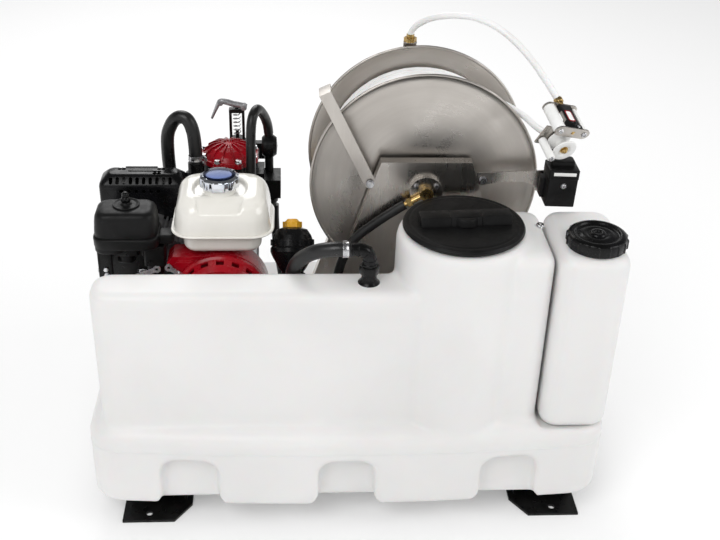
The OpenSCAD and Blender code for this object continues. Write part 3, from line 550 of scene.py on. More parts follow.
def bar(outline, depth, edge=0.0006):
    """A flat outline of (x, y) points raised along Z, with a small edge."""
    shape = bmesh.new()
    floor = [shape.verts.new((x, y, 0.0)) for x, y in outline]
    face = shape.faces.new(floor)
    raised = bmesh.ops.extrude_face_region(shape, geom=[face])["geom"]
    for v in raised:
        if isinstance(v, bmesh.types.BMVert):
            v.co.z = depth
    bmesh.ops.recalc_face_normals(shape, faces=shape.faces)
    if edge > 0:
        rim = [
            e for e in shape.edges
            if e.is_manifold and e.calc_face_angle() > math.radians(50)
        ]
        bmesh.ops.bevel(shape, geom=rim, offset=edge, segments=2, affect="EDGES",
                        profile=0.5)
    mesh = bpy.data.meshes.new("bar")
    shape.to_mesh(mesh)
    shape.free()
    return mesh


def hexagon(across, height, edge=0.0008):
    r = across / 2 / math.cos(math.radians(30))
    corners = [
        (r * math.cos(math.radians(60 * i)), r * math.sin(math.radians(60 * i)))
        for i in range(6)
    ]
    return bar(corners, height, edge)


def spline(points, steps):
    """A smooth line through given points."""
    out = []
    last = len(points) - 1
    for i in range(last):
        a, b = points[max(i - 1, 0)], points[i]
        c, d = points[i + 1], points[min(i + 2, last)]
        for j in range(steps):
            u = j / steps
            out.append(
                0.5 * (2 * b + (c - a) * u + (2 * a - 5 * b + 4 * c - d) * u * u
                       + (3 * b - a - 3 * c + d) * u ** 3)
            )
    return out + [points[last]]


def swept(path, radius, sides=24, ends=None, closed=False):
    """A round tube along a path; radius is a number or one for each point."""
    count = len(path)
    if closed:
        t = [(path[(i + 1) % count] - path[i - 1]).normalized() for i in range(count)]
    else:
        t = [
            (path[min(i + 1, count - 1)] - path[max(i - 1, 0)]).normalized()
            for i in range(count)
        ]
    if ends:
        t[0], t[-1] = Vector(ends[0]).normalized(), Vector(ends[1]).normalized()
    start = Vector((0, 0, 1)) if abs(t[0].z) < 0.9 else Vector((1, 0, 0))
    side = t[0].cross(start).normalized()
    verts = []
    for i, point in enumerate(path):
        side = (side - side.dot(t[i]) * t[i]).normalized()
        other = t[i].cross(side)
        r = radius[i] if hasattr(radius, "__len__") else radius
        for k in range(sides):
            a = math.tau * k / sides
            verts.append(point + r * (math.cos(a) * side + math.sin(a) * other))
    faces = []
    for i in range(count if closed else count - 1):
        j = (i + 1) % count
        for k in range(sides):
            m = (k + 1) % sides
            faces.append([i * sides + k, i * sides + m, j * sides + m, j * sides + k])
    if not closed:
        faces.append(list(range(sides)))
        faces.append([(count - 1) * sides + k for k in range(sides)])
    return made(verts, faces)


def modified(mesh, *steps):
    """The mesh after these modifiers, each (type, settings)."""
    holder = bpy.data.objects.new("holder", mesh)
    bpy.context.scene.collection.objects.link(holder)
    for kind, settings in steps:
        modifier = holder.modifiers.new(kind.lower(), kind)
        for key, value in settings.items():
            setattr(modifier, key, value)
    bpy.context.view_layer.update()
    graph = bpy.context.evaluated_depsgraph_get()
    result = bpy.data.meshes.new_from_object(holder.evaluated_get(graph))
    bpy.data.objects.remove(holder)
    return result


def melted(meshes, voxel, rounds):
    """Overlapping solids fused into one skin with soft fillets."""
    return modified(
        joined(meshes),
        ("REMESH", {"mode": "VOXEL", "voxel_size": voxel}),
        ("SMOOTH", {"factor": 0.5, "iterations": rounds}),
    )


def cut(mesh, tools, exact=False):
    """The mesh less these solids."""
    helpers = []
    steps = []
    for tool in tools:
        helper = bpy.data.objects.new("cutter", tool)
        bpy.context.scene.collection.objects.link(helper)
        helpers.append(helper)
        steps.append((
            "BOOLEAN",
            {"operation": "DIFFERENCE", "object": helper,
             "solver": "EXACT" if exact else "FAST"},
        ))
    result = modified(mesh, *steps)
    for helper in helpers:
        data = helper.data
        bpy.data.objects.remove(helper)
        bpy.data.meshes.remove(data)
    return result


# ---- Settings ----


def colour_setting(name, description, slot_name):
    return FloatVectorProperty(
        name=name, description=description, subtype="COLOR", size=3, min=0, max=1,
        default=FINISH_TABLE[slot_name]["light"],
    )


def length_setting(name, description, millimetres, low=0.0, high=10.0):
    return FloatProperty(
        name=name, description=description, default=millimetres * MM, min=low,
        max=high, unit="LENGTH", precision=4,
    )


class SprayerColours(bpy.types.PropertyGroup):
    white_poly: colour_setting("Tank", "Colour of the moulded tanks", "white_poly")
    red_paint: colour_setting("Paint", "Colour of the engine cover and pump heads", "red_paint")
    fuel_white: colour_setting("Fuel tank", "Colour of the fuel tank's enamel", "fuel_white")
    white_hose: colour_setting("Spray hose", "Colour of the wound hose", "white_hose")
    black_rubber: colour_setting("Suction hose", "Colour of the rubber hoses", "black_rubber")
    brass: colour_setting("Fittings", "Colour of the turned fittings", "brass")


class SprayerSizes(bpy.types.PropertyGroup):
    tank_voxel: length_setting("Tank mesh", "Grid size of the tank's skin", 6, 0.003, 0.02)
    tank_rounds: IntProperty(
        name="Tank softness", description="How far the tank's fillets are softened",
        default=9, min=0, max=60,
    )
    hose: length_setting("Spray hose", "Outside diameter of the spray hose", 13)
    thick_hose: length_setting("Suction hose", "Outside diameter of the suction hoses", 30)
    return_hose: length_setting("Return hose", "Outside diameter of the return hose", 22)
    turns: IntProperty(
        name="Turns", description="Turns of hose in the outer layer", default=10, min=8, max=10
    )


def sizes():
    return bpy.context.scene.sprayer_sizes


# ---- Operators ----


class SPRAYER_OT_finishes(bpy.types.Operator):
    """Makes the shared effects and gives every frame node its slot's finish"""

    bl_idname = "sprayer.finishes"
    bl_label = "Finishes"

    def execute(self, context):
        EFFECTS["skin"] = group_moulded_skin()
        EFFECTS["lines"] = group_brush_lines()
        EFFECTS["dust"] = group_settled_dust()
        EFFECTS["scratches"] = group_hair_scratches()
        colours = context.scene.sprayer_colours
        for name, values in FINISH_TABLE.items():
            chosen = dict(values)
            if hasattr(colours, name):
                chosen["light"] = tuple(getattr(colours, name))
            FINISHES[name] = build_finish(name, **chosen)
        for node, obj in NODES.items():
            obj.data.materials.clear()
            obj.data.materials.append(FINISHES[SLOT_OF[node]])
        return {"FINISHED"}


CAMERA_PLACE = (-0.128, -2.087, 1.665)
CAMERA_YAW, CAMERA_PITCH, CAMERA_ROLL = (
    math.radians(a) for a in (4.096, 30.567, 1.887)
)
LENS_PIXELS, FRAME_WIDTH, SENSOR = 1079.7, 720, 36.0
CLIP_START, CLIP_END = 0.05, 60
SKY_STRENGTH, FLOOR_GLOW, FLOOR_REACH = 0.66, 0.2, 12.0
# Name, place, aim, disc size in metres and power in watts
LAMPS = (
    ("high front lamp", (-1.6, -2.6, 3.4), (0, 0, 0.45), 2.6, 62),
    ("right lamp", (3.2, -1.2, 2.4), (0.1, 0, 0.5), 2.2, 36),
    ("back lamp", (-0.6, 3.2, 3.0), (0, 0.1, 0.6), 2.4, 46),
)


class SPRAYER_OT_studio(bpy.types.Operator):
    """Sets up the camera, the soft lamps and the pale floor"""

    bl_idname = "sprayer.studio"
    bl_label = "Studio"

    def execute(self, context):
        self.camera(context)
        self.floor()
        self.world(context)
        for name, place, aim, size, power in LAMPS:
            lamp = bpy.data.lights.new(name, "AREA")
            lamp.shape = "DISK"
            lamp.size = size
            lamp.energy = power
            holder = bpy.data.objects.new(name, lamp)
            holder.matrix_world = along(Vector(place), Vector(place) - Vector(aim))
            context.scene.collection.objects.link(holder)
        context.scene.view_settings.view_transform = "Standard"
        return {"FINISHED"}

    def camera(self, context):
        lens = bpy.data.cameras.new("camera")
        lens.sensor_fit = "HORIZONTAL"
        lens.sensor_width = SENSOR
        lens.lens = LENS_PIXELS * SENSOR / FRAME_WIDTH
        lens.clip_start, lens.clip_end = CLIP_START, CLIP_END
        holder = bpy.data.objects.new("camera", lens)
        sin, cos = math.sin, math.cos
        yaw, pitch, roll = CAMERA_YAW, CAMERA_PITCH, CAMERA_ROLL
        ahead = Vector((sin(yaw) * cos(pitch), cos(yaw) * cos(pitch), -sin(pitch)))
        right = Vector((cos(yaw), -sin(yaw), 0))
        up = right.cross(ahead)
        turned_right = cos(roll) * right + sin(roll) * up
        turned_up = -sin(roll) * right + cos(roll) * up
        holder.matrix_world = axes(Vector(CAMERA_PLACE), turned_right, turned_up, -ahead)
        context.scene.collection.objects.link(holder)
        context.scene.camera = holder

    def floor(self):
        size = FLOOR_REACH
        mesh = made(
            [(-size, -size, 0), (size, -size, 0), (size, size, 0), (-size, size, 0)],
            [[0, 1, 2, 3]],
        )
        mesh.name = "studio_floor"
        ground = bpy.data.objects.new("studio_floor", mesh)
        bpy.context.scene.collection.objects.link(ground)
        material = bpy.data.materials.new("studio_floor")
        material.use_nodes = True
        tree = material.node_tree
        shader = tree.nodes["Principled BSDF"]
        shader.inputs["Base Color"].default_value = (0.95, 0.95, 0.95, 1)
        shader.inputs["Roughness"].default_value = 0.9
        shader.inputs["Specular IOR Level"].default_value = 0.1
        glow = add(tree, "ShaderNodeEmission", Strength=1.0)
        rays = add(tree, "ShaderNodeLightPath")
        shown = maths(tree, "MAXIMUM", (rays, "Is Camera Ray"), (rays, "Is Glossy Ray"))
        share = maths(tree, "MULTIPLY", (shown, 0), FLOOR_GLOW)
        blend = combined(tree, "ShaderNodeMixShader", (share, 0), (shader, 0), (glow, 0))
        wire(tree, blend, 0, tree.nodes["Material Output"], "Surface")
        mesh.materials.append(material)

    def world(self, context):
        world = bpy.data.worlds.new("studio")
        world.use_nodes = True
        context.scene.world = world
        tree = world.node_tree
        tree.nodes.clear()
        soft = add(tree, "ShaderNodeBackground", Color=(1, 1, 1, 1), Strength=SKY_STRENGTH)
        white = add(tree, "ShaderNodeBackground", Color=(1, 1, 1, 1), Strength=1.0)
        rays = add(tree, "ShaderNodeLightPath")
        seen = maths(tree, "MAXIMUM", (rays, "Is Camera Ray"), (rays, "Is Transmission Ray"))
        # Polished tops mirror a room that darkens overhead
        place = add(tree, "ShaderNodeTexCoord")
        split = add(tree, "ShaderNodeSeparateXYZ")
        wire(tree, place, "Generated", split, 0)
        fade = spread(tree, split, "Z", 0.05, 0.5, 0.85, 0.12)
        mirrored = add(tree, "ShaderNodeBackground", Color=(1, 1, 1, 1))
        wire(tree, fade, 0, mirrored, "Strength")
        lit = combined(tree, "ShaderNodeMixShader", (rays, "Is Glossy Ray"), (soft, 0),
                       (mirrored, 0))
        blend = combined(tree, "ShaderNodeMixShader", (seen, 0), (lit, 0), (white, 0))
        wire(tree, blend, 0, add(tree, "ShaderNodeOutputWorld"), 0)


# Places shared by the tank's pieces, in millimetres
BASE_LEFT, BASE_RIGHT, BASE_DEPTH, BASE_Z, DECK_Z, BOW = -553, 533, 740, 65, 250, 20
WALL = ((-523, -325), (381, -228), 564)
LID_AT, LID_TOP, TOWER_RADIUS, OUTLET_AT = (208, -223), 671.7, 132, (20, -275)
RINSE_LOW, RINSE_HIGH, RINSE_CAP_AT = (386, -338, 238.4), (527, -112, 645), (464, -271)
NOTCH_PITCH, NOTCH_LENGTH, NOTCH_Z, NOTCH_DEPTH = 335, 117, 181, 28


def arc(cx, cy, r, start, end, steps=10):
    """Points of an arc in degrees."""
    return [
        (cx + r * math.cos(math.radians(start + (end - start) * i / steps)),
         cy + r * math.sin(math.radians(start + (end - start) * i / steps)))
        for i in range(steps + 1)
    ]


def notch_cutter(x, side):
    """The recess for a fork or strap in the tank's foot."""
    half, top, r = NOTCH_LENGTH / 2, NOTCH_Z - BASE_Z, 30
    outline = [(-half - 16, -6), (half + 16, -6), (half, 22)]
    outline += arc(half - r, top - r, r, 0, 90) + arc(r - half, top - r, r, 90, 180)
    outline += [(-half, 22)]
    mesh = bar([(px * MM, py * MM) for px, py in outline], mm(2 * NOTCH_DEPTH), 0)
    origin = mm(x, side * (BASE_DEPTH / 2 - 10) + NOTCH_DEPTH, BASE_Z)
    return placed(mesh, axes(origin, Vector((1, 0, 0)), Vector((0, 0, 1)), Vector((0, -1, 0))))


def tower_fillet(sign_x, face_y, outward):
    """The web that runs the tower into the wall's face."""
    r, (cx, cy) = 60, LID_AT
    py = face_y + outward * r
    reach = TOWER_RADIUS + r
    px = cx + sign_x * math.sqrt(reach**2 - (py - cy) ** 2)
    on_tower = math.degrees(math.atan2(cy - py, cx - px))
    on_wall = -90 * outward
    while on_tower - on_wall > 180:
        on_tower -= 360
    while on_wall - on_tower > 180:
        on_tower += 360
    outline = arc(px, py, r, on_wall, on_tower, 8)
    outline += [(cx, cy), (px, face_y - outward * 30)]
    flat = [(a * MM, b * MM) for a, b in outline]
    return placed(bar(flat, mm(280), 0), Matrix.Translation((0, 0, mm(238))))


def bowed(mesh):
    """The base with its long sides a little fuller in the middle."""
    shape = bmesh.new()
    shape.from_mesh(mesh)
    reach = mm(BASE_RIGHT - BASE_LEFT) / 2
    middle = mm(BASE_RIGHT + BASE_LEFT) / 2
    for i in range(-9, 10):
        everything = shape.verts[:] + shape.edges[:] + shape.faces[:]
        bmesh.ops.bisect_plane(shape, geom=everything, plane_no=(1, 0, 0),
                               plane_co=(middle + i * reach / 10, 0, 0))
    for v in shape.verts:
        share = min(1, abs(v.co.x - middle) / (reach - 0.07))
        v.co.y *= 1 - 2 * BOW / BASE_DEPTH * share**2
    shape.to_mesh(mesh)
    shape.free()
    return mesh


def tank_shell():
    voxel, rounds = sizes().tank_voxel, sizes().tank_rounds
    half_d = BASE_DEPTH / 2
    base = bowed(soft_block(mm(BASE_LEFT, -half_d, BASE_Z), mm(BASE_RIGHT, half_d, DECK_Z),
                            0.07, 0.03, 8, foot=0.012))
    cutters = [
        notch_cutter(i * NOTCH_PITCH - 10 - 8 * (1 - abs(i)), side)
        for i in (-1, 0, 1) for side in (-1, 1)
    ]
    cutters.append(soft_block(mm(383, -340, 238), mm(560, -108, 300), 0, 0))
    base = cut(base, cutters, exact=True)
    wall_low, wall_high, wall_z = WALL
    solids = [
        base,
        soft_block(mm(*wall_low, 200), mm(*wall_high, wall_z), 0.036, 0.016, 8),
        soft_block(mm(240, -322, 200), mm(381, -105, 642), 0.03, 0.024, 8),
        shifted(lathe([(0, 0.24), (0.135, 0.24), (0.1322, 0.634), (0.1305, 0.645),
                       (0.126, 0.6525), (0.118, 0.656), (0, 0.656)], 96), *LID_AT, 0),
        tower_fillet(-1, WALL[0][1], -1),
        tower_fillet(-1, WALL[1][1], 1),
        shifted(lathe([(0, 0.548), (0.036, 0.548), (0.034, 0.562), (0.03, 0.5652),
                       (0, 0.5652)], 40), *OUTLET_AT, 0),
    ]
    shell = melted(solids, voxel, rounds)
    bore = shifted(lathe([(0, 0.42), (0.1052, 0.42), (0.1052, 0.7), (0, 0.7)], 96), *LID_AT, 0)
    return piece("tank_shell", cut(shell, [bore]), "white_poly", replaces=["main_tank"],
                 smooth=60)


def parting_bead(shell):
    """The thin bead left by the two halves of the mould, laid on the skin."""
    tree = BVHTree.FromObject(shell, bpy.context.evaluated_depsgraph_get())
    half_d, r, z = mm(BASE_DEPTH / 2), 0.07, mm(203)
    left, right = mm(BASE_LEFT), mm(BASE_RIGHT)
    corners = [(right - r, half_d - r, 0), (left + r, half_d - r, 90),
               (left + r, r - half_d, 180), (right - r, r - half_d, 270)]
    outline = []
    for (cx, cy, start), (nx, ny, _) in zip(corners, corners[1:] + corners[:1]):
        turn = arc(cx, cy, r, start, start + 90, 12)
        outline += turn
        ahead = arc(nx, ny, r, start + 90, start + 90, 1)[0]
        for i in range(1, 24):
            t = i / 24
            outline.append(tuple(a + (b - a) * t for a, b in zip(turn[-1], ahead)))
    path = []
    for x, y in outline:
        found = tree.find_nearest(Vector((x, y, z)))
        point = found[0]
        path.append(Vector((point.x, point.y, z)) - found[1] * 0.0004)
    return piece("parting_bead", swept(path, 0.0013, 8, closed=True), "white_poly")


def rinse_shell():
    body = soft_block(mm(*RINSE_LOW), mm(*RINSE_HIGH), 0.036, 0.024, 8)
    neck = shifted(lathe([(0, 0.6), (0.052, 0.6), (0.05, 0.645), (0.048, 0.651),
                          (0, 0.651)], 64), *RINSE_CAP_AT, 0)
    shell = melted([body, neck], 0.004, 8)
    bore = shifted(lathe([(0, 0.5), (0.04, 0.5), (0.04, 0.7), (0, 0.7)], 64), *RINSE_CAP_AT, 0)
    return piece("rinse_shell", cut(shell, [bore]), "white_poly",
                 replaces=["rinse_tank"], smooth=60)


class SPRAYER_OT_tanks(bpy.types.Operator):
    """Moulds the main tank and the rinse tank with soft fillets and a parting bead"""

    bl_idname = "sprayer.tanks"
    bl_label = "Tanks"

    def execute(self, context):
        parting_bead(tank_shell())
        rinse_shell()
        return {"FINISHED"}


def lid_skin():
    profile = [(0.104, 0.6612), (0.1205, 0.6612), (0.1213, 0.6622), (0.1213, 0.6652),
               (0.1203, 0.6664), (0.1196, 0.667), (0.1196, 0.6684), (0.118, 0.6702),
               (0.112, 0.6709), (0.109, 0.6706), (0.1072, 0.6712), (0.104, 0.6718),
               (0.06, 0.6719), (0, 0.6719)]
    disc = lathe(rounded(profile, 0.0008, 2), 128)
    under = lathe([(0, 0.6699), (0.104, 0.6698), (0.104, 0.6612)], 128)
    return joined([disc, under])


def lid_handle():
    """Three hollow-looking blocks with sloped faces and fine joints between them."""
    blocks = []
    section = [(-0.0235, 0), (-0.0168, 0.0186), (0.0148, 0.0186), (0.0228, 0)]
    for x, length in ((-0.0895, 0.0591), (-0.0298, 0.0612), (0.0322, 0.0591)):
        block = bar(section, length, 0.0012)
        blocks.append(placed(block, axes(
            Vector((x, 0, 0)), Vector((0, 1, 0)), Vector((0, 0, 1)), Vector((1, 0, 0)))))
    for x in (-0.0304, 0.0316):
        blocks.append(placed(bar([(p * 0.94, q * 0.94) for p, q in section], 0.0014, 0), axes(
            Vector((x, 0, 0)), Vector((0, 1, 0)), Vector((0, 0, 1)), Vector((1, 0, 0)))))
    boss = lathe(rounded([(0, 0.0175), (0.0235, 0.0175), (0.0262, 0.001), (0, 0.001)], 0.002), 48)
    blocks.append(placed(boss, Matrix.Translation((0.001, -0.0075, 0))))
    return placed(joined(blocks), Matrix.Rotation(math.radians(4), 4, "Z"))


class SPRAYER_OT_lids(bpy.types.Operator):
    """Makes the main lid with its bar handle and the ribbed rinse cap"""

    bl_idname = "sprayer.lids"
    bl_label = "Lids"

    def execute(self, context):
        piece("main_lid_skin", shifted(lid_skin(), *LID_AT, 0), "black_poly", "main_lid",
              ["main_lid"], 40)
        piece("main_lid_handle", shifted(lid_handle(), *LID_AT, LID_TOP), "black_poly",
              "main_lid", smooth=30)
        self.rinse_cap()
        return {"FINISHED"}

    def rinse_cap(self):
        ribs, r = 18, 0.0608

        def rib(angle, radius, height):
            if radius < 0.0575 or not 0.001 < height < 0.0235:
                return 0.0
            return -0.0024 * (1 - max(0.0, math.cos(ribs * angle)) ** 14)

        profile = [(0.0487, 0.0004), (0.058, 0.0004), (r - 0.0004, 0.0014), (r, 0.003),
                   (r, 0.012), (r, 0.019), (r - 0.0008, 0.0212), (0.0572, 0.0235),
                   (0.0545, 0.0255), (0.0505, 0.0268), (0.0465, 0.0272), (0.0445, 0.0262),
                   (0.0432, 0.0235), (0.041, 0.0222), (0.037, 0.0224), (0.031, 0.0246),
                   (0.026, 0.0252), (0.022, 0.0246), (0.019, 0.0238), (0.0165, 0.0244),
                   (0.0155, 0.0268), (0.0135, 0.0282), (0.009, 0.0283), (0.0072, 0.0276),
                   (0.006, 0.0255), (0, 0.0252)]
        skin = lathe(profile, ribs * 16, rib)
        under = lathe([(0, 0.0165), (0.0487, 0.0165), (0.0487, 0.0004)], ribs * 16)
        piece("rinse_cap_skin", shifted(joined([skin, under]), *RINSE_CAP_AT, 646),
              "gloss_black", "rinse_cap", ["rinse_cap"], 50)


# Routes of the hoses, in millimetres
SUCTION_ROUTE = [
    (-17, -275, 638), (-46, -274, 638), (-80, -264, 628), (-106, -246, 606),
    (-122, -226, 578), (-129, -204, 544), (-130, -177, 506), (-130, -149, 482.6),
]
LOOP_ROUTE = [
    (-346, 141, 628.1), (-346, 142, 664), (-350, 147, 702), (-362, 154, 727),
    (-382, 161, 728), (-400, 167, 706), (-410, 171, 664), (-406, 171, 560),
    (-385, 172, 440), (-384, 172, 340), (-384, 172, 284.2),
]
RETURN_ROUTE = [
    (-222, 122, 565.2), (-222, 123, 640), (-221, 130, 704), (-217, 144, 736),
    (-207, 172, 744), (-195, 200, 720), (-187, 219, 690), (-184, 226, 664.3),
]
DELIVERY_ROUTE = [
    (102.6, -103, 647), (88, -102, 637), (43, -101, 603), (2, -101, 566),
    (-22, -101, 520), (-38, -100, 460), (-58, -100, 390), (-90, -100, 330),
    (-130, -92, 298), (-146, -50, 286), (-146, 60, 284), (-152, 150, 302),
    (-168, 212, 380), (-172, 226, 440), (-172, 226, 479.7),
]
ARCH_ROUTE = [
    (122, 132.5, 933.4), (126, 130, 944), (136, 121, 958), (158, 98, 978),
    (186, 70, 993), (210, 49, 1000), (239, 30, 1002), (276, 3, 994), (315, -25, 971),
    (350, -50, 938), (381, -74, 899), (399.7, -88.6, 873.1),
]
REEL_X, REEL_Z, REEL_FRONT, REEL_WIDTH = 146, 672, -50, 170
WIND_RADIUS, HOSE = 200, 14


def on_reel(angle, y):
    r = WIND_RADIUS + HOSE / 2 + 1
    a = math.radians(angle)
    return (REEL_X + r * math.cos(a), y, REEL_Z + r * math.sin(a))


LEAD_ROUTE = [on_reel(100, 6), on_reel(90, 5), on_reel(80, 3), on_reel(70, 0)] + [
    (268, -5, 848), (312, -14, 832), (346, -30, 816), (366, -60, 806),
    (377, -90, 806), (383.6, -112, 811), (386.2, -123.5, 817.5),
]


def hose(name, route, diameter, slot_name, node, ends):
    """A hose between two fittings."""
    path = spline(points_mm(route), 10)
    obj = piece(name, swept(path, diameter / 2, 28, ends), slot_name, "root", [node], 60)


def worm_clamp(origin, direction, diameter, roll):
    """A steel band with a rolled edge, a screw housing and a hex-headed screw."""
    r, w = diameter / 2, 0.0058
    band = lathe([(r + 0.0003, -w), (r + 0.0013, -w - 0.0002), (r + 0.0015, -w + 0.0008),
                  (r + 0.0011, -w + 0.0016), (r + 0.0011, w - 0.0016),
                  (r + 0.0015, w - 0.0008), (r + 0.0013, w + 0.0002), (r + 0.0003, w),
                  (r + 0.0003, -w)], 48)
    shell = placed(soft_block((-0.0055, -0.0065, 0), (0.0055, 0.0065, 0.0068), 0.002, 0.0022, 3),
                   axes(Vector((r + 0.0006, 0, 0)), Vector((0, 0, 1)), Vector((0, 1, 0)),
                        Vector((1, 0, 0))))
    stem = placed(lathe([(0, -0.009), (0.0026, -0.009), (0.0026, 0.009), (0, 0.009)], 16),
                  along(Vector((r + 0.0042, 0, 0)), (0, 1, 0)))
    head = placed(hexagon(0.0066, 0.004, 0.0005), along(Vector((r + 0.0042, 0.0088, 0)), (0, 1, 0)))
    tail = placed(bar([(0, -0.0042), (0.014, -0.0042), (0.014, 0.0042), (0, 0.0042)], 0.0006, 0),
                  axes(Vector((r + 0.0012, -0.0062, 0)), Vector((0.25, -0.96, 0)).normalized(),
                       Vector((0, 0, 1)), Vector((0.96, 0.25, 0)).normalized()))
    return placed(joined([band, shell, stem, head, tail]),
                  along(origin, direction, math.radians(roll)))


class SPRAYER_OT_hoses(bpy.types.Operator):
    """Runs the rubber hoses and the spray hose between their fittings"""

    bl_idname = "sprayer.hoses"
    bl_label = "Hoses"

    def execute(self, context):
        own = sizes()
        hose("suction_hose_skin", SUCTION_ROUTE, own.thick_hose, "black_rubber",
             "suction_hose", [(-1, 0, 0), (0, 0.866, -0.5)])
        hose("loop_hose_skin", LOOP_ROUTE, own.thick_hose, "black_rubber", "loop_hose",
             [(0, 0, 1), (0, 0, -1)])
        hose("return_hose_skin", RETURN_ROUTE, own.return_hose, "black_rubber",
             "bypass_hose", [(0, 0, 1), (0.1, 0.1, -0.99)])
        hose("delivery_hose_skin", DELIVERY_ROUTE, 0.02, "black_rubber",
             "delivery_hose", [(-0.87, 0, -0.5), (0, 0, 1)])
        hose("arch_hose_skin", ARCH_ROUTE, 0.0135, "white_hose", "arch_hose",
             [(0, 0, 1), (0.4, -0.7, -0.6)])
        hose("lead_hose_skin", LEAD_ROUTE, 0.0135, "white_hose", "lead_hose",
             [(0.985, 0, 0.17), (0.2, -0.95, 0.1)])
        self.clamps()
        self.outlet()
        return {"FINISHED"}

    def clamps(self):
        rows = [
            ((-27, -275, 638), (-1, 0, 0), 0.03, 215),
            ((-346, 141.2, 641), (0, 0, 1), 0.03, 200),
            ((-384, 172, 298), (0, 0, 1), 0.03, 300),
            ((-221.8, 122, 578), (0, 0, 1), 0.022, 250),
        ]
        bands = [worm_clamp(mm(*at), way, size, roll) for at, way, size, roll in rows]
        piece("hose_clamps_skin", joined(bands), "zinc", "root", ["hose_clamps"], 40)

    def outlet(self):
        """The threaded outlet elbow on its dished washer."""
        base = lathe(rounded([(0, -0.002), (0.0226, -0.002), (0.0226, 0.0042), (0.021, 0.0056),
                              (0.0178, 0.0092), (0.0152, 0.0152), (0.0148, 0.0244),
                              (0, 0.0244)], 0.0012, 3), 56)
        nut = placed(hexagon(0.0355, 0.0195, 0.0022), Matrix.Translation((0, 0, 0.0242)))
        collar = lathe(rounded([(0, 0.0436), (0.0158, 0.0436), (0.0158, 0.0476),
                                (0.0138, 0.0492), (0.0134, 0.0562), (0, 0.0562)], 0.0008, 3), 48)
        bend = [Vector((-0.022 + 0.022 * math.cos(a), 0, 0.056 + 0.022 * math.sin(a)))
                for a in [math.pi / 2 * i / 14 for i in range(15)]]
        line = [Vector((0, 0, 0.05))] + bend + [Vector((-0.036, 0, 0.078))]
        radii = [0.0134] * (len(line) - 2) + [0.0136, 0.0128]
        elbow = swept(line, radii, 32)
        beads = [placed(lathe([(0.012, -0.0016), (0.0146, -0.0006), (0.0146, 0.0006),
                               (0.012, 0.0016)], 32), along(Vector(at), way))
                 for at, way in (((0, 0, 0.056), (0, 0, 1)), ((-0.0225, 0, 0.078), (-1, 0, 0)),
                                 ((-0.0065, 0, 0.0716), (-0.7, 0, 0.7)))]
        whole = joined([base, nut, collar, elbow] + beads)
        piece("outlet_elbow_skin", shifted(whole, *OUTLET_AT, 560),
              "gloss_black", "root", ["outlet_fitting"], 40)


class SPRAYER_OT_winding(bpy.types.Operator):
    """Winds the outer layer of spray hose over the layers below"""

    bl_idname = "sprayer.winding"
    bl_label = "Hose winding"

    def execute(self, context):
        own = sizes()
        rings, layer_r = 48, mm(WIND_RADIUS) - own.hose / 2 - 0.0005
        run = mm(REEL_WIDTH - HOSE - 3)
        start = mm(REEL_FRONT + 3.5 + HOSE / 2)
        steps = own.turns * rings
        centre = Vector((mm(REEL_X), 0, mm(REEL_Z)))

        def at(i, r):
            a = math.tau * i / rings + math.radians(40)
            y = start + run * i / steps
            return centre + Vector((r * math.cos(a), y, r * math.sin(a)))

        outer = [at(i, layer_r) for i in range(steps + 1)]
        coil = piece("hose_winding_skin", swept(outer, own.hose / 2, 20), "white_hose",
                     "reel", ["hose_winding"], 60)
        below = layer_r - own.hose * 0.86
        profile = []
        pitch = run / own.turns
        low = start - own.hose / 2
        count = int(run / pitch) + 1
        for i in range(count * 8 + 1):
            y = low + 0.001 + (run + own.hose - 0.002) * i / (count * 8)
            wave = abs(math.sin(math.pi * (y - low) / pitch))
            profile.append((below - own.hose * 0.32 + own.hose * 0.5 * wave, y))
        profile = [(0.1502, profile[0][1])] + profile + [(0.1502, profile[-1][1])]
        profile.append(profile[0])
        layer = placed(lathe(profile, 96), axes(centre, Vector((1, 0, 0)), Vector((0, 0, -1)),
                                                Vector((0, 1, 0))))
        piece("inner_hose_layers", layer, "white_hose", "reel", smooth=60)
        return {"FINISHED"}


# Places shared by the engine's pieces, in millimetres
FUEL_AT, FUEL_SIZE, CAP_AT, CAP_Z = (-275, -50), (214, 180), (-280, -60), 671
CLEANER_AT, CLEANER_SIZE, KNOB_AT = (-471, -98), (134, 96), (-470, -92)
GUARD_AT, GUARD_SIZE = (-456, 80), (188, 74)


def slab_ring(centre, size, inset, radius, z, steps=8):
    """The corners of a rounded rectangle, drawn in by an inset, at one height."""
    hx, hy = size[0] / 2 - inset, size[1] / 2 - inset
    rows = []
    for i, (sx, sy) in enumerate(((1, 1), (-1, 1), (-1, -1), (1, -1))):
        cx, cy = centre[0] + sx * (hx - radius), centre[1] + sy * (hy - radius)
        rows += [mm(x, y, z) for x, y in arc(cx, cy, radius, 90 * i, 90 * i + 90, steps)]
    return rows


def loft(rings):
    """A closed solid through rings with the same number of points."""
    count = len(rings[0])
    faces = [list(range(count)), [(len(rings) - 1) * count + k for k in range(count)]]
    for i in range(len(rings) - 1):
        for k in range(count):
            m = (k + 1) % count
            faces.append([i * count + k, i * count + m, (i + 1) * count + m,
                          (i + 1) * count + k])
    return made([v for ring in rings for v in ring], faces)


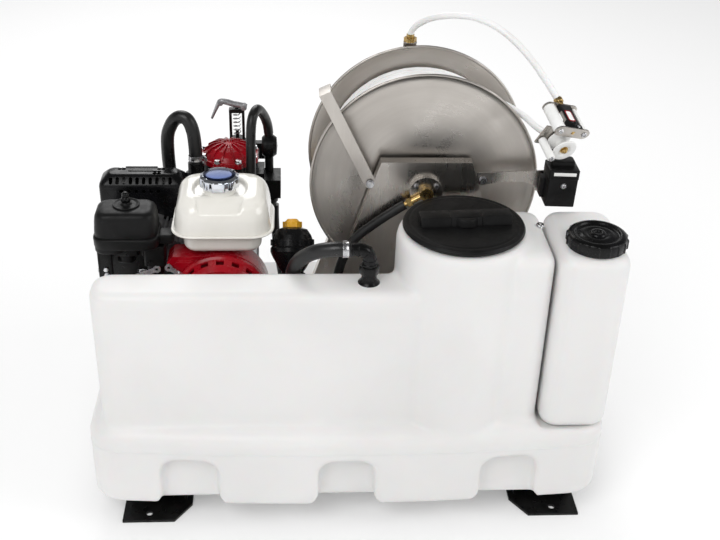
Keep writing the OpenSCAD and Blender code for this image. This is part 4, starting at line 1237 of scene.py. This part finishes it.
def fuel_crown():
    """The pressed upper half, with the shallow dish that runs from the cap to the front."""
    rows = ((6, 586), (6, 590), (7.5, 606), (9.5, 625), (13, 642), (18, 654), (25, 662),
            (35, 666.6), (48, 668))
    rings = [slab_ring(FUEL_AT, FUEL_SIZE, inset, max(46 - 0.45 * inset, 20), z)
             for inset, z in rows]
    for ring in rings:
        for v in ring:
            forward = min(1, max(0, (-0.02 - v.y) / 0.1))
            v.z -= 0.013 * forward * max(0, v.z - 0.59) / 0.078
    back = arc(-280, -60, 56, -28, 208, 18)
    front = ((-331, -88), (-317, -150), (-243, -150), (-229, -88))
    tools = []
    for outline, fall in ((back, 0), (front, 0.64)):
        tools.append(loft([[mm(x, y, 658 + fall * (y + 90)) for x, y in outline],
                           [mm(-280 + 1.12 * (x + 280), y, 712) for x, y in outline]]))
    return melted([cut(loft(rings), tools, exact=True)], 0.0024, 9)


def fuel_rim():
    rows = ((16, 585), (3, 585), (0.8, 585.8), (0, 587.4), (0.6, 589.2), (2, 590),
            (4.5, 589.4), (8, 589.3), (11, 590.6), (13, 594), (18, 594))
    return loft([slab_ring(FUEL_AT, FUEL_SIZE, inset, 48 - 0.5 * inset, z, 10)
                 for inset, z in rows])


class SPRAYER_OT_fuel(bpy.types.Operator):
    """Presses the enamelled fuel tank with its rolled rim and turns the fluted cap, whose top is a
    painted dark reflection
    """

    bl_idname = "sprayer.fuel"
    bl_label = "Fuel tank"

    def execute(self, context):
        tub = soft_block(mm(-357, -124, 543), mm(-194, 18, 588), 0.03, 0.001, 8, foot=0.016)
        neck = shifted(lathe([(0.02, 0.655), (0.035, 0.655), (0.033, 0.659), (0.033, 0.679),
                              (0.0315, 0.6815), (0.028, 0.6815), (0.027, 0.68),
                              (0.02, 0.68)], 64), *CAP_AT, 0)
        piece("fuel_shell", joined([fuel_crown(), fuel_rim(), tub, neck]), "fuel_white",
              replaces=["fuel_tank"], smooth=50)
        profile = [(0, 0), (0.0335, 0), (0.0345, -0.0005), (0.0405, 0.0002), (0.0418, 0.0015),
                   (0.0418, 0.0195), (0.041, 0.0212), (0.0385, 0.0225), (0.0365, 0.0238),
                   (0.033, 0.0248), (0.022, 0.0268), (0.01, 0.0278), (0, 0.028)]

        def flutes(a, r, z):
            share = min(1, max(0, (r - 0.03) / 0.008))
            return -0.0022 * share * abs(math.cos(6 * a)) ** 1.5

        cap = shifted(lathe(rounded(profile, 0.0007, 2), 144, flutes), *CAP_AT, CAP_Z)
        piece("fuel_cap_skin", cap, "chrome", "fuel_cap", ["fuel_cap"], 50)
        # The cap's top is a separate dark blue metal skin: a painted dark reflection
        dome = shifted(lathe([(0.0335, 0.0247), (0.033, 0.0251), (0.022, 0.0271),
                              (0.01, 0.0281), (0.0004, 0.0283)], 72), *CAP_AT, CAP_Z)
        piece("fuel_cap_dome", dome, "blued_mirror", "fuel_cap", smooth=50)
        return {"FINISHED"}


class SPRAYER_OT_cleaner(bpy.types.Operator):
    """Moulds the two-part air cleaner with its dished washer and dome knob"""

    bl_idname = "sprayer.cleaner"
    bl_label = "Air cleaner"

    def execute(self, context):
        rows = ((5, 586), (4, 587), (3, 589), (3.5, 600), (5, 620), (6.5, 630), (8.5, 635),
                (12, 638.5), (17, 640.4), (24, 641), (30, 641.2))
        cover = loft([slab_ring(CLEANER_AT, CLEANER_SIZE, inset, 25 - 0.3 * inset, z)
                      for inset, z in rows])
        rows = ((12, 559), (6, 559.6), (2.5, 561.5), (0.6, 566), (0, 582), (0.4, 585),
                (2, 586.4), (8, 587))
        tray = loft([slab_ring(CLEANER_AT, CLEANER_SIZE, inset, 26 - 0.5 * inset, z)
                     for inset, z in rows])
        dish = shifted(lathe(rounded([(0.006, 0.6395), (0.0265, 0.6405), (0.0278, 0.6435),
                                      (0.026, 0.6446), (0.021, 0.6424), (0.012, 0.6434),
                                      (0.0085, 0.6465), (0.0075, 0.65), (0.006, 0.65)],
                                     0.0008, 2), 64), *KNOB_AT, 0)
        foot = soft_block(mm(-536, -144, 551.5), mm(-470, -56, 576), 0.022, 0.006, 5, foot=0.005)
        elbow = soft_block(mm(-420, -116, 562), mm(-376, -80, 582), 0.006, 0.002, 4)
        piece("cleaner_shell", joined([cover, tray, dish, foot, elbow]), "black_poly",
              replaces=["air_cleaner"], smooth=50)
        self.bracket()
        knob = shifted(lathe(rounded([(0.0004, 0.648), (0.0085, 0.648), (0.0088, 0.656),
                                      (0.008, 0.658), (0.0068, 0.6592), (0.0072, 0.6605),
                                      (0.0072, 0.6645), (0.006, 0.668), (0.0035, 0.6698),
                                      (0, 0.6704)], 0.0006, 2), 40), *KNOB_AT, 0)
        grips = [placed(soft_block(mm(7, -1.6, 649), mm(9.6, 1.6, 656), 0.0008, 0.0006, 2),
                        Matrix.Translation(mm(*KNOB_AT, 0))
                        @ Matrix.Rotation(k * math.pi / 3, 4, "Z"))
                 for k in range(6)]
        piece("cleaner_knob", joined([knob] + grips), "gloss_black", "air_cleaner_knob",
              ["air_cleaner_knob"], 50)
        return {"FINISHED"}

    def bracket(self):
        """The folded bracket under the air cleaner with its bolts, and the carburettor."""
        folds = [soft_block(mm(-536, -46, 428), mm(-420, -42, 552), 0.0015, 0.001, 2),
                 soft_block(mm(-536, -112, 470), mm(-530, -42, 552), 0.0015, 0.001, 2),
                 soft_block(mm(-532, -112, 474), mm(-506, -104, 552), 0.003, 0.002, 3),
                 soft_block(mm(-506, -96, 520), mm(-452, -60, 556), 0.006, 0.004, 4),
                 soft_block(mm(-500, -90, 500), mm(-462, -56, 524), 0.012, 0.004, 4)]
        piece("cleaner_bracket", joined(folds), "black_steel", smooth=40)
        carb = [soft_block(mm(-440, -113, 506), mm(-396, -66, 553.5), 0.005, 0.002, 3),
                shifted(lathe(rounded([(0, 0.464), (0.006, 0.464), (0.007, 0.468),
                                       (0.018, 0.469), (0.0208, 0.473), (0.021, 0.506),
                                       (0, 0.506)], 0.001, 2), 40), -417, -90, 0),
                soft_block(mm(-447, -97, 523), mm(-439, -83, 537), 0.004, 0.001, 3),
                soft_block(mm(-436, -68, 505), mm(-412, -47, 527), 0.006, 0.002, 3)]
        piece("carburettor_skin", joined(carb), "black_steel", replaces=["carburettor"],
              smooth=40)
        bolts = [placed(hexagon(0.01, 0.005, 0.001), along(mm(*at), way)) for at, way in (
            ((-520, -112, 500), (0, -1, 0)), ((-519, -112, 488), (0, -1, 0)),
            ((-536, -90, 484), (-1, 0, 0)), ((-470, -60, 540), (0, -1, 0)))]
        tab = soft_block(mm(-452, -120, 492), mm(-434, -116, 503), 0.004, 0.001, 3)
        piece("bracket_bolts", joined(bolts + [tab]), "zinc", smooth=35)


class SPRAYER_OT_exhaust(bpy.types.Operator):
    """Presses the muffler's guard, with slots in its slope and round vents on top"""

    bl_idname = "sprayer.exhaust"
    bl_label = "Exhaust guard"

    def execute(self, context):
        outer = ((0, 494), (0, 612), (1.5, 618), (5, 623), (15, 633), (18, 635.4), (22, 636.4))
        inner = ((2, 490), (2, 612), (4, 619), (7, 623), (16, 631), (19, 633), (23, 634))
        shell = loft([slab_ring(GUARD_AT, GUARD_SIZE, inset, 14, z, 5) for inset, z in outer])
        tools = [loft([slab_ring(GUARD_AT, GUARD_SIZE, inset, 12, z, 5) for inset, z in inner])]
        for i in range(10):
            x = -523 + i * 14.2
            slot = soft_block(mm(-3.6, -8, -8), mm(3.6, 8, 8), 0.003, 0, 3)
            tools.append(placed(slot, Matrix.Translation(mm(x, 50, 627))
                                @ Matrix.Rotation(0.785, 4, "X")))
        for i in range(6):
            hole = lathe([(0, 0), (0.0042, 0), (0.0042, 0.014), (0, 0.014)], 20)
            tools.append(placed(hole, along(mm(-500 + i * 16, 52, 604), (0, -1, 0))))
        for x, y in ((-503, 93), (-417, 93), (-425, 71)):
            for k in range(4):
                a = math.radians(90 * k + 45)
                hole = lathe([(0, 0), (0.0046, 0), (0.0046, 0.02), (0, 0.02)], 20)
                tools.append(shifted(hole, x + 6.4 * math.cos(a), y + 6.4 * math.sin(a), 626))
        parts = [cut(shell, tools, exact=True)]
        for y, w in ((98, 26), (80, 18)):
            parts.append(soft_block(mm(-470 - w, y - 3.5, 635.6), mm(-452 + w, y + 3.5, 637.6),
                                    0.002, 0.0008, 2))
        piece("guard_shell", joined(parts), "gloss_black", replaces=["muffler_guard"], smooth=32)
        return {"FINISHED"}


def turned(mesh, centre, axis):
    """Marks a turned sheet's points with the way that its brushing runs round the axis, and with a
    place whose radius gives ring grain and whose angle makes light and dark wedges: painted
    reflection streaks.
    """
    axis = Vector(axis).normalized()
    first = axis.orthogonal().normalized()
    second = axis.cross(first)
    on, way, place = [], [], []
    for vert in mesh.vertices:
        arm = vert.co - centre
        height = arm.dot(axis)
        arm -= height * axis
        r = arm.length
        if r < 1e-6:
            arm = first * 1e-6
        round_way = axis.cross(arm).normalized()
        c, s = arm.normalized().dot(first), arm.normalized().dot(second)
        on.append(1.0)
        way += round_way[:]
        # The angle terms give the slow patches light and dark wedges round the axis, painted
        # reflection streaks; the radius gives ring grain
        place += [r, 0.01 * c + 0.3 * height, 0.35 * s]
    for name, kind, field, values in (("turned", "FLOAT", "value", on),
                                      ("brush_way", "FLOAT_VECTOR", "vector", way),
                                      ("brush_place", "FLOAT_VECTOR", "vector", place)):
        layer = mesh.attributes.new(name, kind, "POINT")
        layer.data.foreach_set(field, values)
    return mesh


class SPRAYER_OT_flanges(bpy.types.Operator):
    """Spins the reel's flat flanges with a rolled rim, circular brushing and painted reflection
    streaks
    """

    bl_idname = "sprayer.flanges"
    bl_label = "Reel flanges"

    def execute(self, context):
        outline = [(0.0152, 0.0), (0.0152, -0.0098), (0.0292, -0.0098), (0.03, -0.009),
                   (0.03, -0.0012), (0.031, 0.0), (0.07, 0.0004), (0.12, 0.0006),
                   (0.17, 0.0006), (0.2, 0.0005), (0.22, 0.0004), (0.2335, 0.0003)]
        rim = [(0.237 + 0.0031 * math.cos(a), 0.001 + 0.0031 * math.sin(a))
               for a in [math.radians(200 + 14 * i) for i in range(24)]]
        back = [(0.2335, 0.0021), (0.12, 0.0021), (0.0152, 0.0021), (0.0152, 0.0)]
        skins = []
        for y, out in ((REEL_FRONT, 1), (REEL_FRONT + REEL_WIDTH + 4, -1)):
            mesh = lathe(outline + rim + back, 192)
            centre = Vector((mm(REEL_X), mm(y), mm(REEL_Z)))
            mesh = placed(mesh, along(centre, (0, out, 0)))
            skins.append(turned(mesh, centre, (0, 1, 0)))
        piece("reel_flange_skins", joined(skins), "stainless", "reel", ["reel_flanges"], 35)
        return {"FINISHED"}


GUIDE_AT, SPOOL_IN_GUIDE, HOUSING_AT = (391, -165, 842), (34, -14, -40), (416, -93.6, 708)


def guide_place():
    """The tilted place of the hose guide."""
    turn = (Matrix.Rotation(math.radians(15), 4, "Z") @ Matrix.Rotation(math.radians(24), 4, "X")
            @ Matrix.Rotation(math.radians(18), 4, "Y"))
    return Matrix.Translation(mm(*GUIDE_AT)) @ turn


def in_guide(mesh, x, y, z, way=(0, 1, 0)):
    return placed(mesh, guide_place() @ along(mm(x, y, z), way))


def screw_head(radius, height):
    """A round screw head with a cross recess."""
    head = lathe(rounded([(0, 0), (radius, 0), (radius, height * 0.4),
                          (radius * 0.8, height * 0.85), (radius * 0.3, height), (0, height)],
                         height * 0.2, 2), 28)
    w = radius * 0.17
    tools = [soft_block((-a, -b, height * 0.45), (a, b, height * 2), 0, 0)
             for a, b in ((radius * 0.62, w), (w, radius * 0.62))]
    return cut(head, tools, exact=True)


class SPRAYER_OT_guide(bpy.types.Operator):
    """Makes the guide's rollers, spool, screws, cover and clutch housing"""

    bl_idname = "sprayer.guide"
    bl_label = "Hose guide"

    def execute(self, context):
        self.rollers()
        self.spool()
        self.cover()
        self.housing()
        return {"FINISHED"}

    def rollers(self):
        rows = (("left_roller", 0, 0, 0, 12, 62, 3.4), ("right_roller", 60, 0, 0, 8, 62, 3.4),
                ("lower_roller", -4, -34, -47, 8, 52, 0))
        for node, x, y, z, r, long, pin in rows:
            r, long = mm(r), mm(long)
            body = lathe(rounded([(0.003, 0), (r, 0), (r, long), (0.003, long)],
                                 r * 0.3, 4), 48)
            piece(node + "_skin", in_guide(body, x, y, z), "white_roller", node, [node], 50)
            shaft = lathe([(0, -mm(pin)), (0.003, -mm(pin)), (0.003, long + 0.0015),
                           (0, long + 0.0015)], 24)
            piece(node + "_pin", in_guide(shaft, x, y, z), "zinc", node, (), 40)

    def spool(self):
        profile = [(0, 0.0035), (0.0105, 0.0035), (0.0125, 0.0005), (0.0245, 0), (0.026, 0.0012),
                   (0.0258, 0.003), (0.0215, 0.0058), (0.0165, 0.0092), (0.0138, 0.013),
                   (0.013, 0.016), (0.0138, 0.019), (0.0165, 0.0228), (0.0215, 0.0262),
                   (0.0258, 0.029), (0.026, 0.0308), (0.0245, 0.032), (0, 0.032)]
        body = in_guide(lathe(rounded(profile, 0.0006, 2), 72), *SPOOL_IN_GUIDE)
        piece("spool_skin", body, "white_roller", "guide_spool", ["guide_spool"], 50)
        washer = lathe([(0, 0.0034), (0.0085, 0.0034), (0.0085, 0.0022), (0, 0.0022)], 36)
        nut = placed(hexagon(0.0105, 0.0046, 0.0008), Matrix.Translation((0, 0, -0.0024)))
        stud = lathe(rounded([(0, 0.002), (0.003, 0.002), (0.003, -0.0046), (0, -0.005)],
                             0.0008, 2), 24)
        piece("spool_bolt", in_guide(joined([washer, nut, stud]), *SPOOL_IN_GUIDE), "brass",
              "guide_spool", (), 35)

    def cover(self):
        """The dark cover strip with its bare label place, and the end plate's screws."""
        outline = [(13, -1), (50, -1), (50.5, 8), (46, 10), (46, 50), (49, 53), (49, 62),
                   (20, 63), (14, 60), (14, 44), (17, 41), (17, 20), (13, 16)]
        strip = bar([(mm(x), mm(y)) for x, y in outline], 0.0066, 0.0009)
        knob = shifted(lathe(rounded([(0, 0), (0.005, 0), (0.005, 0.0025), (0.0032, 0.004),
                                      (0.0032, 0.0065), (0, 0.007)], 0.0006, 2), 28), 29, 8, 6.4)
        place = guide_place()
        lift = Matrix.Translation(mm(0, 0, 5.8))
        piece("guide_cover", placed(joined([strip, knob]), place @ lift), "black_poly",
              "root", (), 35)
        frame = soft_block(mm(23, 17, 12.3), mm(40, 46, 12.75), 0.004, 0, 5)
        plain = soft_block(mm(25.2, 19.5, 12.5), mm(37.8, 43.5, 12.95), 0.003, 0, 5)
        piece("cover_label_border", placed(frame, place), "red_paint", "root", (), 40)
        piece("cover_label_bare", placed(plain, place), "white_roller", "root", (), 40)
        screws = [in_guide(screw_head(0.0062, 0.003), x, -3.4, 0, (0, -1, 0))
                  for x in (0, 60)]
        screws.append(in_guide(screw_head(0.0062, 0.003), -4, -34, -47, (0, -1, 0)))
        screws.append(placed(screw_head(0.0032, 0.0022), place @ Matrix.Translation(
            mm(41, 4, 12.2))))
        piece("guide_screws", joined(screws), "zinc", "root", (), 35)
        peg = soft_block(mm(-3.4, -3.6, 0), mm(3.4, 3.6, 0.7), 0, 0.0003, 2)
        piece("guide_peg", in_guide(peg, 31, -3.3, 0, (0, -1, 0)), "brass", "root", (), 35)
        ferrule = lathe(rounded([(0, -0.003), (0.009, -0.003), (0.009, 0.006), (0.0068, 0.0068),
                                 (0.0066, 0.012), (0, 0.012)], 0.0006, 2), 36)
        piece("arch_ferrule", placed(ferrule, place @ Matrix.Translation(mm(27, 78, 8))
                                     @ Matrix.Rotation(math.pi / 2, 4, "X")),
              "brass", "root", (), 40)

    def housing(self):
        at = Matrix.Translation(mm(*HOUSING_AT)) @ Matrix.Rotation(math.radians(2), 4, "Y")
        case = soft_block(mm(-30, -54, -43), mm(30, 0, 37), 0.0022, 0.0016, 3)
        lip = soft_block(mm(-31, -55, 18), mm(30.8, -2, 38.6), 0.0026, 0.0016, 3)
        side = soft_block(mm(-38, -30, -34), mm(-29, -4, 8), 0.002, 0.0014, 3)
        shoulder = soft_block(mm(-26, -40, 36), mm(24, -8, 51), 0.006, 0.004, 4)
        rim = placed(lathe([(0.0045, 0), (0.0052, 0.0006), (0.0059, 0)], 28),
                     along(mm(-4, -54, -20), (0, -1, 0)))
        groove = soft_block(mm(-24, -55.4, 23.5), mm(25, -54, 24.3), 0, 0.0002, 1)
        piece("housing_skin", placed(joined([case, lip, side, shoulder, rim, groove]), at),
              "black_poly", "root", ["guide_housing"], 35)
        label = soft_block(mm(-22, -55.7, 26.5), mm(24, -54.9, 33.5), 0.0004, 0.0002, 2)
        piece("housing_label_bare", placed(label, at.copy()), "white_roller", "root", (), 35)
        washer = lathe([(0, 0), (0.0062, 0), (0.0062, 0.0009), (0, 0.0009)], 28)
        screw = placed(screw_head(0.0044, 0.0026), Matrix.Translation((0, 0, 0.0008)))
        piece("housing_screw", placed(joined([washer, screw]),
                                      at @ along(mm(2, -54, 4), (0, -1, 0))),
              "zinc", "root", (), 35)


class SPRAYER_OT_details(bpy.types.Operator):
    """Adds the cast regulator lever and the tank's eyelet"""

    bl_idname = "sprayer.details"
    bl_label = "Small details"

    def execute(self, context):
        arm_z, y = 695.6, 302
        line = spline(points_mm([(-236, y, arm_z + 2), (-248, y, arm_z + 5),
                                 (-268, y, arm_z + 9), (-286, y, arm_z + 14),
                                 (-297, y, arm_z + 15), (-303, y, arm_z + 7),
                                 (-310, y, arm_z - 8), (-319, y, arm_z - 28)]), 6)
        count = len(line)
        radii = []
        for i in range(count):
            t = i / (count - 1)
            swell = 0.0012 * math.sin(math.pi * min(1, t / 0.6))
            radii.append(0.0062 + swell - 0.0034 * max(0, t - 0.6) / 0.4)
        arm = swept(line, radii, 20)
        boss = placed(lathe(rounded([(0, -0.009), (0.0072, -0.009), (0.0072, 0.009),
                                     (0, 0.009)], 0.001, 3), 32),
                      along(mm(-243, y, arm_z + 2), (0, 1, 0)))
        knuckle = placed(lathe(rounded([(0, -0.008), (0.006, -0.008), (0.006, 0.008),
                                        (0, 0.008)], 0.001, 3), 28),
                         along(mm(-297, y, arm_z + 12), (0, 1, 0)))
        piece("regulator_lever_skin", joined([arm, boss, knuckle]), "cast_alloy",
              "regulator_lever", ["regulator_lever"], 60)
        eyelet = shifted(lathe(rounded([(0.003, 0.0006), (0.003, 0.0028), (0.0072, 0.0028),
                                        (0.0085, 0.0012), (0.0085, 0)], 0.0006, 2), 36),
                         371, -183, 642)
        piece("tank_eyelet", eyelet, "zinc", "root", (), 50)
        return {"FINISHED"}


OPERATORS = [
    SPRAYER_OT_finishes, SPRAYER_OT_studio, SPRAYER_OT_tanks, SPRAYER_OT_lids,
    SPRAYER_OT_hoses, SPRAYER_OT_winding, SPRAYER_OT_fuel, SPRAYER_OT_cleaner,
    SPRAYER_OT_exhaust, SPRAYER_OT_flanges, SPRAYER_OT_guide, SPRAYER_OT_details,
]


class SPRAYER_PT_panel(bpy.types.Panel):
    """Lists the sprayer's settings and its operators"""

    bl_idname = "SPRAYER_PT_panel"
    bl_label = "Sprayer"
    bl_space_type = "VIEW_3D"
    bl_region_type = "UI"
    bl_category = "Sprayer"

    def draw(self, context):
        for settings in (context.scene.sprayer_colours, context.scene.sprayer_sizes):
            box = self.layout.box()
            for name in settings.__annotations__:
                box.prop(settings, name)
        for operator in OPERATORS:
            self.layout.operator(operator.bl_idname)


CLASSES = [SprayerColours, SprayerSizes, *OPERATORS, SPRAYER_PT_panel]


def register():
    for item in CLASSES:
        bpy.utils.register_class(item)
    bpy.types.Scene.sprayer_colours = PointerProperty(type=SprayerColours)
    bpy.types.Scene.sprayer_sizes = PointerProperty(type=SprayerSizes)


def unregister():
    del bpy.types.Scene.sprayer_sizes
    del bpy.types.Scene.sprayer_colours
    for item in reversed(CLASSES):
        bpy.utils.unregister_class(item)


def main():
    register()
    for operator in OPERATORS:
        group, name = operator.bl_idname.split(".")
        getattr(getattr(bpy.ops, group), name)()


if __name__ == "__main__":
    main()
